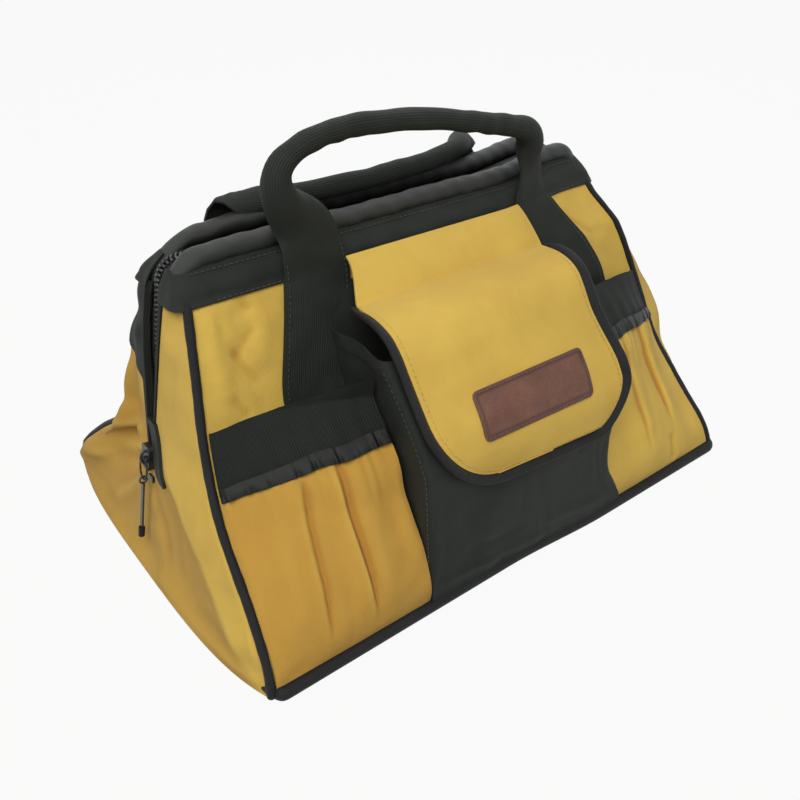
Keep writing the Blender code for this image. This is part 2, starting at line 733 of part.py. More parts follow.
def build_flap(name):
    """The yellow flap over the centre pocket."""
    length = flap_run()[1][-1]
    straight = np.linspace(CLEARANCE, length - FLAP_CORNER_RADIUS, 10)
    bend = length - FLAP_CORNER_RADIUS + FLAP_CORNER_RADIUS * np.sin(np.linspace(0, math.pi / 2, 6)[1:])
    runs = np.concatenate([straight, bend])
    reach, height = flap_point(runs, 0.0)
    x = np.linspace(-1, 1, 9)[None, :] * flap_half_width(runs, length)[:, None]
    y = np.repeat(-reach[:, None], 9, axis=1)
    z = np.repeat(height[:, None], 9, axis=1)
    sheet(name, np.stack([x, y, z], axis=-1), FLAP_THICKNESS, (0, -1, 0), yellow_cloth())


def build_flap_binding(name):
    """The black edging round the flap's three free sides."""
    length = flap_run()[1][-1]
    grow = BINDING_RADIUS + CLEARANCE
    straight = [(FLAP_WIDTH / 2 + grow, run) for run in np.linspace(BINDING_RADIUS, length - FLAP_CORNER_RADIUS, 9)]
    radius = FLAP_CORNER_RADIUS + grow
    bend = [(FLAP_WIDTH / 2 - FLAP_CORNER_RADIUS + radius * math.cos(a),
             length - FLAP_CORNER_RADIUS + radius * math.sin(a)) for a in np.linspace(0, math.pi / 2, 8)[1:]]
    half = straight + bend
    points = []
    for x, run in half + [(-x, run) for x, run in half[::-1]]:
        reach, height = flap_point(np.array(min(run, length)), -FLAP_THICKNESS / 2)
        beyond = max(run - length, 0)
        points.append((x, -float(reach), float(height) - beyond))
    cord(name, points, BINDING_RADIUS, black_piping())


def on_flap(name, width, height, centre_share, out, thickness, outward, material):
    """A flat piece that follows the flap, standing out from its face."""
    length = flap_run()[1][-1]
    runs = centre_share * length + np.linspace(-height / 2, height / 2, 5)
    reach, level = flap_point(runs, out)
    x = np.repeat(np.linspace(-width / 2, width / 2, 5)[None, :], len(runs), axis=0)
    y = np.repeat(-reach[:, None], 5, axis=1)
    z = np.repeat(level[:, None], 5, axis=1)
    sheet(name, np.stack([x, y, z], axis=-1), thickness, outward, material)


def build_flap_pieces():
    """The flap with its edging, leather patch and loop strip."""
    build_flap("flap")
    build_flap_binding("flap_binding")
    on_flap("leather_patch", PATCH_WIDTH, PATCH_HEIGHT, PATCH_CENTRE_SHARE, CLEARANCE + PATCH_THICKNESS,
            PATCH_THICKNESS, (0, -1, 0), brown_leather())
    on_flap("flap_loop_strip", STRIP_WIDTH, STRIP_HEIGHT, STRIP_CENTRE_SHARE, -FLAP_THICKNESS - CLEARANCE,
            STRIP_THICKNESS, (0, -1, 0), black_cloth())


def build_hook_strip(name):
    """The strip on the pocket's front that the flap's strip presses on."""
    length = flap_run()[1][-1]
    level = float(flap_point(np.array(STRIP_CENTRE_SHARE * length), 0.0)[1])
    heights = level + np.linspace(-STRIP_HEIGHT / 2, STRIP_HEIGHT / 2, 5)
    reach = pocket_front(heights) + (CLEARANCE + STRIP_THICKNESS) * 1.25
    x = np.repeat(np.linspace(-STRIP_WIDTH / 2, STRIP_WIDTH / 2, 5)[None, :], 5, axis=0)
    y = np.repeat(-reach[:, None], 5, axis=1)
    z = np.repeat(heights[:, None], 5, axis=1)
    sheet(name, np.stack([x, y, z], axis=-1), STRIP_THICKNESS, (0, -1, 0), black_cloth())


def build_yoke(name):
    """The yellow cloth between the straps, from the facing out to the flap's crease."""
    top_reach, top_height = wall_at(yoke_top(), CLEARANCE + CLOTH)
    shares = np.linspace(0, 1, 6)
    foot_height = flap_crease_height()
    foot_reach = flap_crease_reach() - CLEARANCE
    reach = top_reach + (foot_reach - top_reach) * shares
    height = top_height + (foot_height - top_height) * shares ** 1.3
    half = STRAP_SPACING / 2 - STRAP_WIDTH / 2 - CLEARANCE
    x = np.repeat(np.linspace(-half, half, 5)[None, :], len(shares), axis=0)
    y = np.repeat(-reach[:, None], 5, axis=1)
    z = np.repeat(height[:, None], 5, axis=1)
    sheet(name, np.stack([x, y, z], axis=-1), CLOTH, (0, -1, 1), yellow_cloth())


def side_pocket_grid(side, heights, thickness, columns):
    """Grid over a side pocket's outer face, from the corner piping to the centre pocket."""
    share = (heights - wall_foot()) / (BAND_TOP - wall_foot())
    bulge = SIDE_POCKET_BULGE * hermite(share, side_pocket_height_shares, side_pocket_bulge_shares)
    across = np.linspace(0, 1, columns)
    growth = np.sin(across * math.pi / 2) ** 0.8
    reach, height = wall_at(heights, CLEARANCE + thickness)
    outer = half_length(heights) - CORNER_PIPING_RADIUS - CLEARANCE
    inner = POCKET_WIDTH / 2 + CLEARANCE + thickness / 4
    x = side * (outer[:, None] + (inner - outer[:, None]) * across[None, :])
    y = -(reach[:, None] + bulge[:, None] * growth[None, :])
    z = np.repeat(height[:, None], columns, axis=1)
    return np.stack([x, y, z], axis=-1)


def build_side_pocket(word):
    """A yellow side pocket gathered into its black elastic band, open along the band's top."""
    side = sign(word)
    low = rows_between(wall_foot() + 2 * POCKET_CLOTH, BAND_FOOT - CLEARANCE)
    sheet(f"{word}_pocket", side_pocket_grid(side, low, POCKET_CLOTH, 9), POCKET_CLOTH, (0, -1, 0), yellow_cloth())
    high = rows_between(BAND_FOOT + CLEARANCE, BAND_TOP)
    sheet(f"{word}_pocket_band", side_pocket_grid(side, high, BAND_THICKNESS, 9), BAND_THICKNESS, (0, -1, 0), black_webbing())


def section_rings(centres, half_widths, half_thicknesses, faces):
    """Rings of twelve points round a path, wide across it and thin along each station's face direction."""
    along = np.gradient(centres, axis=0)
    along[0] = (0, 0, 1)
    along[-1] = (0, 0, -1)
    along /= np.linalg.norm(along, axis=1)[:, None]
    across = np.cross(along, faces)
    across /= np.linalg.norm(across, axis=1)[:, None]
    through = np.cross(across, along)
    angles = np.linspace(0, 2 * math.pi, 12, endpoint=False)
    wide = np.sign(np.cos(angles)) * np.abs(np.cos(angles)) ** 0.75
    deep = np.sign(np.sin(angles)) * np.abs(np.sin(angles)) ** 0.75
    return (centres[:, None, :] + half_widths[:, None, None] * wide[None, :, None] * across[:, None, :]
            + half_thicknesses[:, None, None] * deep[None, :, None] * through[:, None, :])


def handle_foot(word):
    """Place of the middle of a handle's foot, across and up."""
    reach = strap_path(FRONT_STRAP_FOOT)[0][-1] - HANDLE_FOOT_THICKNESS / 2
    return sign(word) * reach, strap_top() + HANDLE_FOOT_GAP


def section_sizes(width_shares):
    """Half widths and half thicknesses: flat at the feet, and round in the grip."""
    widths = np.array(width_shares) * STRAP_WIDTH / 2
    thin = HANDLE_FOOT_THICKNESS / 2
    grip_share = min(width_shares)
    roundness = (1 - np.array(width_shares)) / (1 - grip_share)
    return widths, thin + (GRIP_RADIUS - thin) * roundness ** 1.5


def build_front_handle(name):
    """The front handle, standing up from its straps."""
    foot_y, foot_z = handle_foot("front")
    spots = np.array(front_handle_shares)
    centres = np.stack([spots[:, 0] * STRAP_SPACING / 2, foot_y + HANDLE_LEAN * spots[:, 1],
                        foot_z + HANDLE_RISE * spots[:, 1]], axis=-1)
    widths, depths = section_sizes(front_handle_width_shares)
    faces = np.repeat([[0.0, 1.0, 0.0]], len(centres), axis=0)
    loft(name, section_rings(centres, widths, depths, faces), black_webbing())


def build_rear_handle(name):
    """The rear handle, slumped forwards over the mouth."""
    foot_y, foot_z = handle_foot("rear")
    spots = np.array(rear_handle_shares)
    centres = np.stack([spots[:, 0] * STRAP_SPACING / 2, foot_y + HANDLE_RISE * spots[:, 1],
                        foot_z + HANDLE_RISE * spots[:, 2]], axis=-1)
    widths, depths = section_sizes(rear_handle_width_shares)
    turn = np.array(rear_handle_turn_shares) * math.pi / 2
    faces = np.stack([np.zeros_like(turn), np.cos(turn), np.sin(turn)], axis=-1)
    loft(name, section_rings(centres, widths, depths, faces), black_webbing())


def zip_lean():
    """Change of the zip line's half length with height."""
    return (zip_top_half() - zip_foot_half()) / (WALL_HEIGHT - ZIP_FOOT_HEIGHT)


def zip_frame(height, lean):
    """A matrix at a height on the left end's zip line: X across, Y up the lean, Z out of the bag."""
    up = Vector((-lean, 0, 1)).normalized()
    out = Vector((-1, 0, -lean)).normalized()
    across = up.cross(out)
    spot = Vector((-float(zip_line(height)), 0, height))
    return Matrix.Translation(spot) @ Matrix((across, up, out)).transposed().to_4x4()


def solid_from(name, shape, matrix, material, smooth=True):
    """An object of a bmesh, placed by a matrix that goes into its mesh."""
    bmesh.ops.transform(shape, matrix=matrix, verts=shape.verts)
    bmesh.ops.recalc_face_normals(shape, faces=shape.faces)
    mesh = bpy.data.meshes.new(name)
    shape.to_mesh(mesh)
    shape.free()
    if smooth:
        mesh.shade_smooth()
        mesh.set_sharp_from_angle(angle=math.radians(40))
    return place(name, mesh, material)


def build_slider():
    """The slider at the foot of the left end's zip, with the wire bridge for its pull."""
    frame = zip_frame(ZIP_FOOT_HEIGHT - SLIDER_DROP, zip_lean()) @ Matrix.Translation((0, 0, CLEARANCE))
    half, wide, narrow = SLIDER_LENGTH / 2, SLIDER_WIDTH / 2, SLIDER_WIDTH / 3
    outline = ((-narrow, -half), (narrow, -half), (wide, 0.0), (wide, half * 0.8), (narrow, half),
               (-narrow, half), (-wide, half * 0.8), (-wide, 0.0))
    shape = bmesh.new()
    face = shape.faces.new([shape.verts.new((x, y, 0)) for x, y in outline])
    raised = bmesh.ops.extrude_face_region(shape, geom=[face])
    risen = [item for item in raised["geom"] if isinstance(item, bmesh.types.BMVert)]
    bmesh.ops.translate(shape, verts=risen, vec=(0, 0, SLIDER_THICKNESS))
    body = solid_from("zip_slider", shape, frame, black_metal())
    arch = []
    for angle in np.linspace(0, math.pi, 9):
        local = Vector((0, BRIDGE_RADIUS * 1.3 * math.cos(angle),
                        SLIDER_THICKNESS - BRIDGE_WIRE / 2 + BRIDGE_RADIUS * math.sin(angle)))
        arch.append(tuple(frame @ local))
    bridge = wire("bridge_guide", arch, BRIDGE_WIRE, black_metal())
    join_to(body, bridge, "bridge")


def pull_height():
    """How far the pull ring's wire runs above the cloth, in the middle of the slider's bridge."""
    return SLIDER_THICKNESS + (BRIDGE_RADIUS - 1.5 * BRIDGE_WIRE) / 2


def pull_frame():
    """The pull's own frame, its origin in the slider's bridge, leaning as the cloth below the zip leans."""
    height = ZIP_FOOT_HEIGHT - SLIDER_DROP
    on_slider = zip_frame(height, zip_lean()) @ Matrix.Translation((0, 0, CLEARANCE + pull_height()))
    below = (float(zip_line(zip_kink())) - float(zip_line(0))) / zip_kink()
    turned = zip_frame(height, min(below, zip_lean()))
    turned.translation = on_slider.translation
    return turned


def build_pull():
    """The oval ring on the slider, and the slim tab and tip that hang from it."""
    frame = pull_frame()
    half_long = RING_LENGTH / 2 - RING_WIRE
    half_wide = RING_WIDTH / 2 - RING_WIRE
    ring = [frame @ Vector((half_wide * math.sin(a), half_long * (math.cos(a) - 1), 0))
            for a in np.linspace(0, 2 * math.pi, 20, endpoint=False)]
    cord("pull_ring", ring, RING_WIRE, black_metal(), cyclic=True, resolution=1)
    eye_centre = -2 * half_long - EYE_RADIUS / 3
    eye = [frame @ Vector((0, eye_centre + EYE_RADIUS * math.cos(a), EYE_RADIUS * math.sin(a)))
           for a in np.linspace(0, 2 * math.pi, 12, endpoint=False)]
    loop = wire("eye_guide", [tuple(p) for p in eye], EYE_WIRE, steel(), cyclic=True)
    eye_foot = eye_centre - EYE_RADIUS
    shape = bmesh.new()
    bmesh.ops.create_cube(shape, size=1)
    size = Matrix.Diagonal((TAB_WIDTH, TAB_LENGTH, TAB_THICKNESS, 1))
    spot = Matrix.Translation((0, eye_foot - TAB_LENGTH / 2, 0))
    tab = solid_from("pull_tab", shape, frame @ spot @ size, steel(), smooth=False)
    join_to(tab, loop, "eye")
    tip_top = eye_foot - TAB_LENGTH - CLEARANCE
    points = [frame @ Vector((0, tip_top, 0)), frame @ Vector((0, tip_top - TIP_LENGTH, 0))]
    cord("pull_tip", points, TIP_RADIUS, black_piping(), resolution=1)


def build_stop(word):
    """The metal stop sewn where the two rows of teeth meet at the foot of an end."""
    height = ZIP_FOOT_HEIGHT - SLIDER_DROP - SLIDER_LENGTH if word == "left" else ZIP_FOOT_HEIGHT - STOP_LENGTH
    frame = zip_frame(height, zip_lean()) @ Matrix.Translation((0, 0, CLEARANCE + STOP_THICKNESS / 2))
    if word == "right":
        frame = Matrix.Scale(-1, 4, (1, 0, 0)) @ frame
    shape = bmesh.new()
    bmesh.ops.create_cube(shape, size=1)
    size = Matrix.Diagonal((STOP_WIDTH, STOP_LENGTH, STOP_THICKNESS, 1))
    solid_from(f"{word}_zip_stop", shape, frame @ size, black_metal(), smooth=False)


def build_wall(word):
    """What the front and the rear wall have alike."""
    wall = sign(word)
    build_panel(wall, f"{word}_panel")
    build_facing(wall, f"{word}_facing")
    build_sleeve(wall, f"{word}_sleeve")
    build_rod(wall, f"{word}_frame_rod")
    build_zip_row(wall, f"{word}_zip_row")
    strap_foot = FRONT_STRAP_FOOT if word == "front" else REAR_STRAP_FOOT
    for end, ear in (("left", 0.0), ("right", EAR_BULGE)):
        side = sign(end)
        build_corner_piping(wall, side, f"{word}_{end}_piping")
        build_strap(wall, side, strap_foot, f"{word}_{end}_strap")
        build_wing(wall, side, ear, f"{word}_{end}_wing")


def main():
    """Builds every piece of the bag."""
    clear_scene()
    build_base()
    build_gusset("left", 0.0)
    build_gusset("right", EAR_BULGE)
    build_wall("front")
    build_wall("rear")
    build_yoke("front_yoke")
    build_centre_pocket("centre_pocket")
    build_hook_strip("pocket_hook_strip")
    build_side_pocket("left")
    build_side_pocket("right")
    build_flap_pieces()
    build_front_handle("front_handle")
    build_rear_handle("rear_handle")
    build_slider()
    build_pull()
    build_stop("left")
    build_stop("right")


main()
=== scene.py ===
# %% [markdown]
# A tool bag, dressed for its portrait.
#
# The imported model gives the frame: which piece moves with which body, and where each one is.
# This lesson builds the looks around it: woven cloth, webbing, piping, a zip, a leather patch.
# Every shape is a surface worked out with numpy, and every finish is a small network of nodes.

# %% Load the frame
import math

import bpy
import numpy as np
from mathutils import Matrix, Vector


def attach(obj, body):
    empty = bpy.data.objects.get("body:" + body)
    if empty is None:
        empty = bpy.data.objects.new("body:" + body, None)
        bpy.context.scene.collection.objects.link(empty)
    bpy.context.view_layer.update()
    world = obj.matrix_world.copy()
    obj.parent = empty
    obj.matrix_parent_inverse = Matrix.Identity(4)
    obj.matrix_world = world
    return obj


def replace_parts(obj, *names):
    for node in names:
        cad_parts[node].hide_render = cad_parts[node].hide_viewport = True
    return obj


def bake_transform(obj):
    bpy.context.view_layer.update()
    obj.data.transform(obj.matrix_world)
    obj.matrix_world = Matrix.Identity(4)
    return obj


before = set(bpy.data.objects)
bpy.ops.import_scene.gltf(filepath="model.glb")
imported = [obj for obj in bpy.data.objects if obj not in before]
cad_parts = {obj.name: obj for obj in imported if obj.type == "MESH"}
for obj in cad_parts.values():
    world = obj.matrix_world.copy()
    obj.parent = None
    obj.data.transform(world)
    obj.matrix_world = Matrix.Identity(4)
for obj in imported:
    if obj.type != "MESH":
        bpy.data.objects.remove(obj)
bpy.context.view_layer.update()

# %% [markdown]
# Sizes of the bag, in metres, as its maker would know them: the base, the mouth, the wall between them,
# the webbing, the pockets. The shapes below are functions of these few numbers.

# %% Sizes
BASE_LENGTH, BASE_DEPTH = 0.400, 0.289
MOUTH_LENGTH, MOUTH_DEPTH = 0.336, 0.060
WALL_HEIGHT, WALL_FOOT, WALL_BOW = 0.194, 0.0066, 0.22
CLOTH, THIN_CLOTH, WEBBING = 0.0014, 0.0012, 0.0016
PIPING, BASE_PIPING = 0.00275, 0.0044
ZIP_FOOT, ZIP_FOOT_HALF, ZIP_TOP_HALF, ZIP_KINK = 0.095, 0.1912, 0.1757, 0.033
END_BOW, EAR = 0.009, 0.024
ROD_HEIGHT, ROD_OFFSET, ROD_RADIUS, SLEEVE = 0.2125, 0.0165, 0.0025, 0.0062
STRAP_WIDTH, STRAP_SPACING, HANDLE_UNIT = 0.048, 0.189, 0.052
CREASE_REACH, CREASE_HEIGHT, FLAP_FALL = 0.0595, 0.1757, 0.0942
POCKET_WIDTH, POCKET_RIM, POCKET_GAPE = 0.172, 0.158, 0.0557
BAND_TOP, POCKET_BULGE = 0.1310, 0.034
FLAP_WIDTH, NECK_HALF, FLAP_CORNER, LEFT_CORNER = 0.156, 0.0660, 0.030, 0.046
FRONT, REAR, LEFT, RIGHT = -1, 1, -1, 1
both_walls = (("front", FRONT), ("rear", REAR))
both_ends = (("left", LEFT), ("right", RIGHT))
print("the wall leans in by", round((BASE_DEPTH - MOUTH_DEPTH) / 2, 4), "m over", WALL_HEIGHT, "m")

# %% [markdown]
# The wall's side profile is a smooth curve through a few heights. A cubic through each pair of points,
# with the mean of the slopes around each point, gives no kinks and doesn't overshoot much.


# %% The bag's shape as functions
def hermite(at, places, values):
    """A smooth curve through values at rising places, with the mean slope at the inner places."""
    places, values = np.asarray(places, float), np.asarray(values, float)
    steps = np.diff(places)
    rises = np.diff(values) / steps
    inner = (rises[:-1] * steps[1:] + rises[1:] * steps[:-1]) / (steps[:-1] + steps[1:])
    slopes = np.concatenate([rises[:1], inner, rises[-1:]])
    at = np.clip(np.asarray(at, float), places[0], places[-1])
    k = np.clip(np.searchsorted(places, at, side="right") - 1, 0, len(steps) - 1)
    t = (at - places[k]) / steps[k]
    h = steps[k]
    return (values[k] * (1 + 2 * t) * (1 - t) ** 2 + slopes[k] * h * t * (1 - t) ** 2
            + values[k + 1] * t * t * (3 - 2 * t) + slopes[k + 1] * h * t * t * (t - 1))


def soft_step(low, high, value):
    """0 below low and 1 above high, with a smooth rise between."""
    t = np.clip((np.asarray(value, float) - low) / (high - low), 0, 1)
    return t * t * (3 - 2 * t)


def wall_reach(z):
    """How far the wall's outer face stands from the middle plane at a height."""
    lean = hermite(np.asarray(z) / WALL_HEIGHT, (0, 0.10, 0.22, 0.41, 0.59, 0.80, 1),
                   (1, 0.943, 0.779, 0.438, 0.258, 0.132, 0))
    return (MOUTH_DEPTH + (BASE_DEPTH - MOUTH_DEPTH) * lean) / 2


def corner_half(z):
    """How far the corner seam stands from the middle, along the bag, at a height."""
    s = np.asarray(z) / WALL_HEIGHT
    return (BASE_LENGTH - (BASE_LENGTH - MOUTH_LENGTH) * ((1 - WALL_BOW) * s + WALL_BOW * s * s)) / 2


def wall_point(z, out):
    """Reach and height of a point at a distance out from the wall's face."""
    slope = (wall_reach(z + 0.001) - wall_reach(z - 0.001)) / 0.002
    length = np.sqrt(1 + slope * slope)
    return wall_reach(z) + out / length, z - out * slope / length


ZIP_LEAN = (ZIP_TOP_HALF - ZIP_FOOT_HALF) / (WALL_HEIGHT - ZIP_FOOT)


def zip_line(z):
    """Half length of the end's middle line: straight along the zip, then straight to the base."""
    kink = ZIP_FOOT - ZIP_KINK
    kink_half = ZIP_FOOT_HALF - ZIP_KINK * ZIP_LEAN
    down = (BASE_LENGTH / 2 + END_BOW - kink_half) * (kink - np.asarray(z)) / kink
    return np.where(z > kink, ZIP_FOOT_HALF + ZIP_LEAN * (np.asarray(z) - ZIP_FOOT), kink_half + down)


def end_half(share, z, ear):
    """Half length of an end's face at a share of the half depth, bulging by ear beside the piping."""
    edge = corner_half(z)
    bulge = np.sin(math.pi * np.abs(share) ** (math.log(0.5) / math.log(0.75)))
    rise = np.sin(math.pi * np.clip(np.asarray(z) / WALL_HEIGHT, 0, 1) ** 0.85) ** 2
    return edge + (zip_line(z) - edge) * (1 - np.abs(share) ** 3) + ear * bulge * rise


def pocket_front(z):
    """Reach of the centre pocket's front at a height."""
    share = (z - WALL_FOOT) / (POCKET_RIM - WALL_FOOT)
    reach = hermite(share, (0, 0.28, 0.50, 0.61, 0.73, 0.83, 0.91, 1),
                    (1, 0.965, 0.915, 0.865, 0.675, 0.435, 0.22, 0))
    rim = float(wall_reach(POCKET_RIM)) + POCKET_GAPE
    return rim + (BASE_DEPTH / 2 + 0.0033 - rim) * reach


def flap_curve(shares):
    """Reach and height of the flap's face at shares of its run: over the pocket's rim, then down."""
    knots = np.linspace(0, 1, 9)
    heights = CREASE_HEIGHT - FLAP_FALL * np.array((0, -0.005, 0.04, 0.14, 0.295, 0.44, 0.60, 0.79, 1))
    rim = float(wall_reach(POCKET_RIM)) + POCKET_GAPE
    over = CREASE_REACH + (rim - CREASE_REACH) * np.array((0, 0.49, 0.88))
    stand_off = 0.0057 * np.array((1.05, 1.56, 1.34, 1.26, 1.02, 1))
    down = pocket_front(np.minimum(heights[3:], POCKET_RIM)) + stand_off
    return hermite(shares, knots, np.concatenate([over, down])), hermite(shares, knots, heights)


def run_table(curve):
    """Shares of a curve of reach and height, and the run to each."""
    shares = np.linspace(0, 1, 401)
    reach, height = curve(shares)
    return shares, np.concatenate([[0], np.cumsum(np.hypot(np.diff(reach), np.diff(height)))])


flap_shares, flap_runs = run_table(flap_curve)
FLAP_LENGTH = float(flap_runs[-1])
print("the flap is", round(FLAP_LENGTH, 4), "m long from its crease")

# %% [markdown]
# A real bag doesn't stand as straight as its pattern. A few soft pushes, each one a shift that fades out
# over a box of space, move whatever lies there together: cloth, cord and stitches stay on each other.


# %% How the bag has settled
def faded(low, high, value):
    """A soft step from low to high, rising either way, or 1 where the limits are left out."""
    if low is None:
        return 1.0
    return soft_step(low, high, value) if low < high else 1 - soft_step(high, low, value)


def settled(points):
    """The points after every push: each adds its shift times its fades along the three axes."""
    points = np.asarray(points, float)
    x, y, z = points[..., 0], points[..., 1], points[..., 2]
    moved = points.copy()
    for (x_low, x_high), (y_low, y_high), heights, strengths, shift in pushes:
        strength = faded(x_low, x_high, x) * faded(y_low, y_high, y) * hermite(z, heights, strengths)
        moved += np.asarray(strength)[..., None] * np.array(shift)
    return moved


always = (None, None)
pushes = (
    ((0.060, 0.155), always, (0.165, 0.195, 0.25), (0, 1, 1), (-0.003, 0.012, 0.001)),
    ((0.080, 0.165), (0.0, -0.040), (0.020, 0.047, 0.070, 0.094, 0.119, 0.138, 0.168, 0.185),
     (0, 0.1, 0.45, 0.85, 1, 0.85, 0.4, 0), (0.012, 0, 0)),
    ((-0.110, -0.165), (0.0, 0.012), (0.150, 0.175, 0.200, 0.217, 0.25), (0, 0.1, 0.4, 1, 1),
     (0.013, 0, -0.002)),
    ((-0.110, -0.165), (0.015, 0.050), (0.020, 0.045, 0.065, 0.085, 0.110, 0.140, 0.170, 0.190),
     (0, 0.5, 1, 1, 0.7, 0.45, 0.4, 0), (0.011, -0.012, 0)),
    ((0.050, 0.085), (-0.080, -0.100), (0.008, 0.045, 0.070, 0.110), (0, 1, 0.8, 0), (-0.013, 0, 0)),
    ((0.098, 0.125), (-0.080, -0.100), (0.008, 0.045, 0.070, 0.110), (0, 1, 0.8, 0), (0.013, 0, 0)),
    ((-0.020, 0.070), (-0.105, -0.140), (-0.01, 0.000, 0.025, 0.060), (1, 1, 0.8, 0), (0, -0.0045, 0)),
)
print("pushes:", len(pushes))

# %% [markdown]
# A piece of cloth is a grid of points. To stand for real cloth it needs a thickness, so a second grid is
# set back along the normals and the two are joined round the rim. Its texture coordinates are metres
# along the cloth, so one weave fits every piece at the right scale.


# %% From grids to meshes
def grid_of(x, y, z):
    """Points from their three places, each of them a number, a row, a column or a grid."""
    return np.stack(np.broadcast_arrays(x, y, z), axis=-1)


def in_row(low, high, count):
    """Even steps from low to high, as a row."""
    return np.linspace(low, high, count)[None, :]


def in_column(low, high, count):
    """Even steps from low to high, as a column."""
    return np.linspace(low, high, count)[:, None]


def unit(vectors):
    """The vectors, each at length one."""
    return vectors / np.linalg.norm(vectors, axis=-1, keepdims=True)


def run_along(path):
    """The length of a path up to each of its points."""
    return np.concatenate([[0], np.cumsum(np.linalg.norm(np.diff(path, axis=0), axis=1))])


def at_runs(at, run, values):
    """Rows of values between those known at places along a run."""
    return np.stack([np.interp(at, run, values[:, k]) for k in range(values.shape[1])], axis=-1)


def resampled(path, step):
    """Points at an even step along a path, with the whole path's length shared out."""
    run = run_along(path)
    count = max(2, int(round(run[-1] / step)) + 1)
    return at_runs(np.linspace(0, run[-1], count), run, path)


def normals_of(points):
    """Unit normals of a grid: the cross product of the steps along its columns and its rows."""
    normal = np.cross(np.gradient(points, axis=1), np.gradient(points, axis=0))
    return normal / np.maximum(np.linalg.norm(normal, axis=-1, keepdims=True), 1e-12)


def outward(points, toward):
    """The normals on the side on which the middle of the first row faces toward a direction."""
    normal = normals_of(points)
    return normal if normal[0, points.shape[1] // 2] @ np.array(toward, float) > 0 else -normal


def raised(points, toward, height):
    """The grid moved along its outward normals by a height at each point."""
    return points + outward(points, toward) * height[..., None]


def metres_along(points):
    """Texture coordinates: the length along each row, from its middle, and along each column."""
    across = np.cumsum(np.linalg.norm(np.diff(points, axis=1), axis=-1), axis=1)
    along = np.cumsum(np.linalg.norm(np.diff(points, axis=0), axis=-1), axis=0)
    across, along = np.pad(across, ((0, 0), (1, 0))), np.pad(along, ((1, 0), (0, 0)))
    return np.stack([across - across[:, [points.shape[1] // 2]], along], axis=-1)


def hollows(height, reach=3):
    """How far each point of a raised surface lies below its neighbours, at a few cells' distance."""
    wide = np.pad(height, reach, mode="edge")
    rows, columns = height.shape
    around = (wide[:rows, reach:-reach] + wide[2 * reach:, reach:-reach]
              + wide[reach:-reach, :columns] + wide[reach:-reach, 2 * reach:]) / 4
    return around - height


def painted_shade_value(share):
    """The hollow value that paints this share of shade, darker and browner, onto the cloth."""
    return 0.00015 + 0.0021 * share


def new_piece(name, points, faces, uvs, material, smooth=40.0, hollow=None):
    """An object of faces over points, with coordinates of cloth at each corner and a hollow at each point."""
    mesh = bpy.data.meshes.new(name)
    mesh.from_pydata(settled(points).tolist(), [], faces.tolist() if isinstance(faces, np.ndarray) else faces)
    if uvs is not None:
        layer = mesh.uv_layers.new(name="cloth")
        layer.data.foreach_set("uv", np.asarray(uvs, np.float32).ravel())
    if hollow is not None:
        spot = mesh.attributes.new("hollow", "FLOAT", "POINT")
        spot.data.foreach_set("value", np.asarray(hollow, np.float32).ravel())
    mesh.shade_smooth()
    mesh.set_sharp_from_angle(angle=math.radians(smooth))
    mesh.materials.append(material)
    piece = bpy.data.objects.new(name, mesh)
    bpy.context.scene.collection.objects.link(piece)
    return piece


def shell(name, points, toward, thickness, material, hollow=0.0):
    """A closed sheet of cloth: the grid as its face, a grid set back by the thickness, and a rim."""
    hollow = np.broadcast_to(hollow, points.shape[:2])
    if normals_of(points)[0, points.shape[1] // 2] @ np.array(toward, float) <= 0:
        points, hollow = points[:, ::-1], hollow[:, ::-1]
    count = hollow.size
    back = points - normals_of(points) * thickness
    index = np.arange(count).reshape(hollow.shape)
    front = np.stack([index[:-1, :-1], index[:-1, 1:], index[1:, 1:], index[1:, :-1]], axis=-1).reshape(-1, 4)
    loop = np.concatenate([index[0, :-1], index[:-1, -1], index[-1, :0:-1], index[:0:-1, 0]])
    after = np.roll(loop, -1)
    rim = np.stack([after, loop, loop + count, after + count], axis=-1)
    faces = np.concatenate([front, front[:, ::-1] + count, rim])
    uv = np.tile(metres_along(points).reshape(-1, 2), (2, 1))
    both = np.concatenate([points.reshape(-1, 3), back.reshape(-1, 3)])
    hollow = np.tile(hollow.reshape(-1), 2)
    return new_piece(name, both, faces, uv[faces.reshape(-1)], material, hollow=hollow)


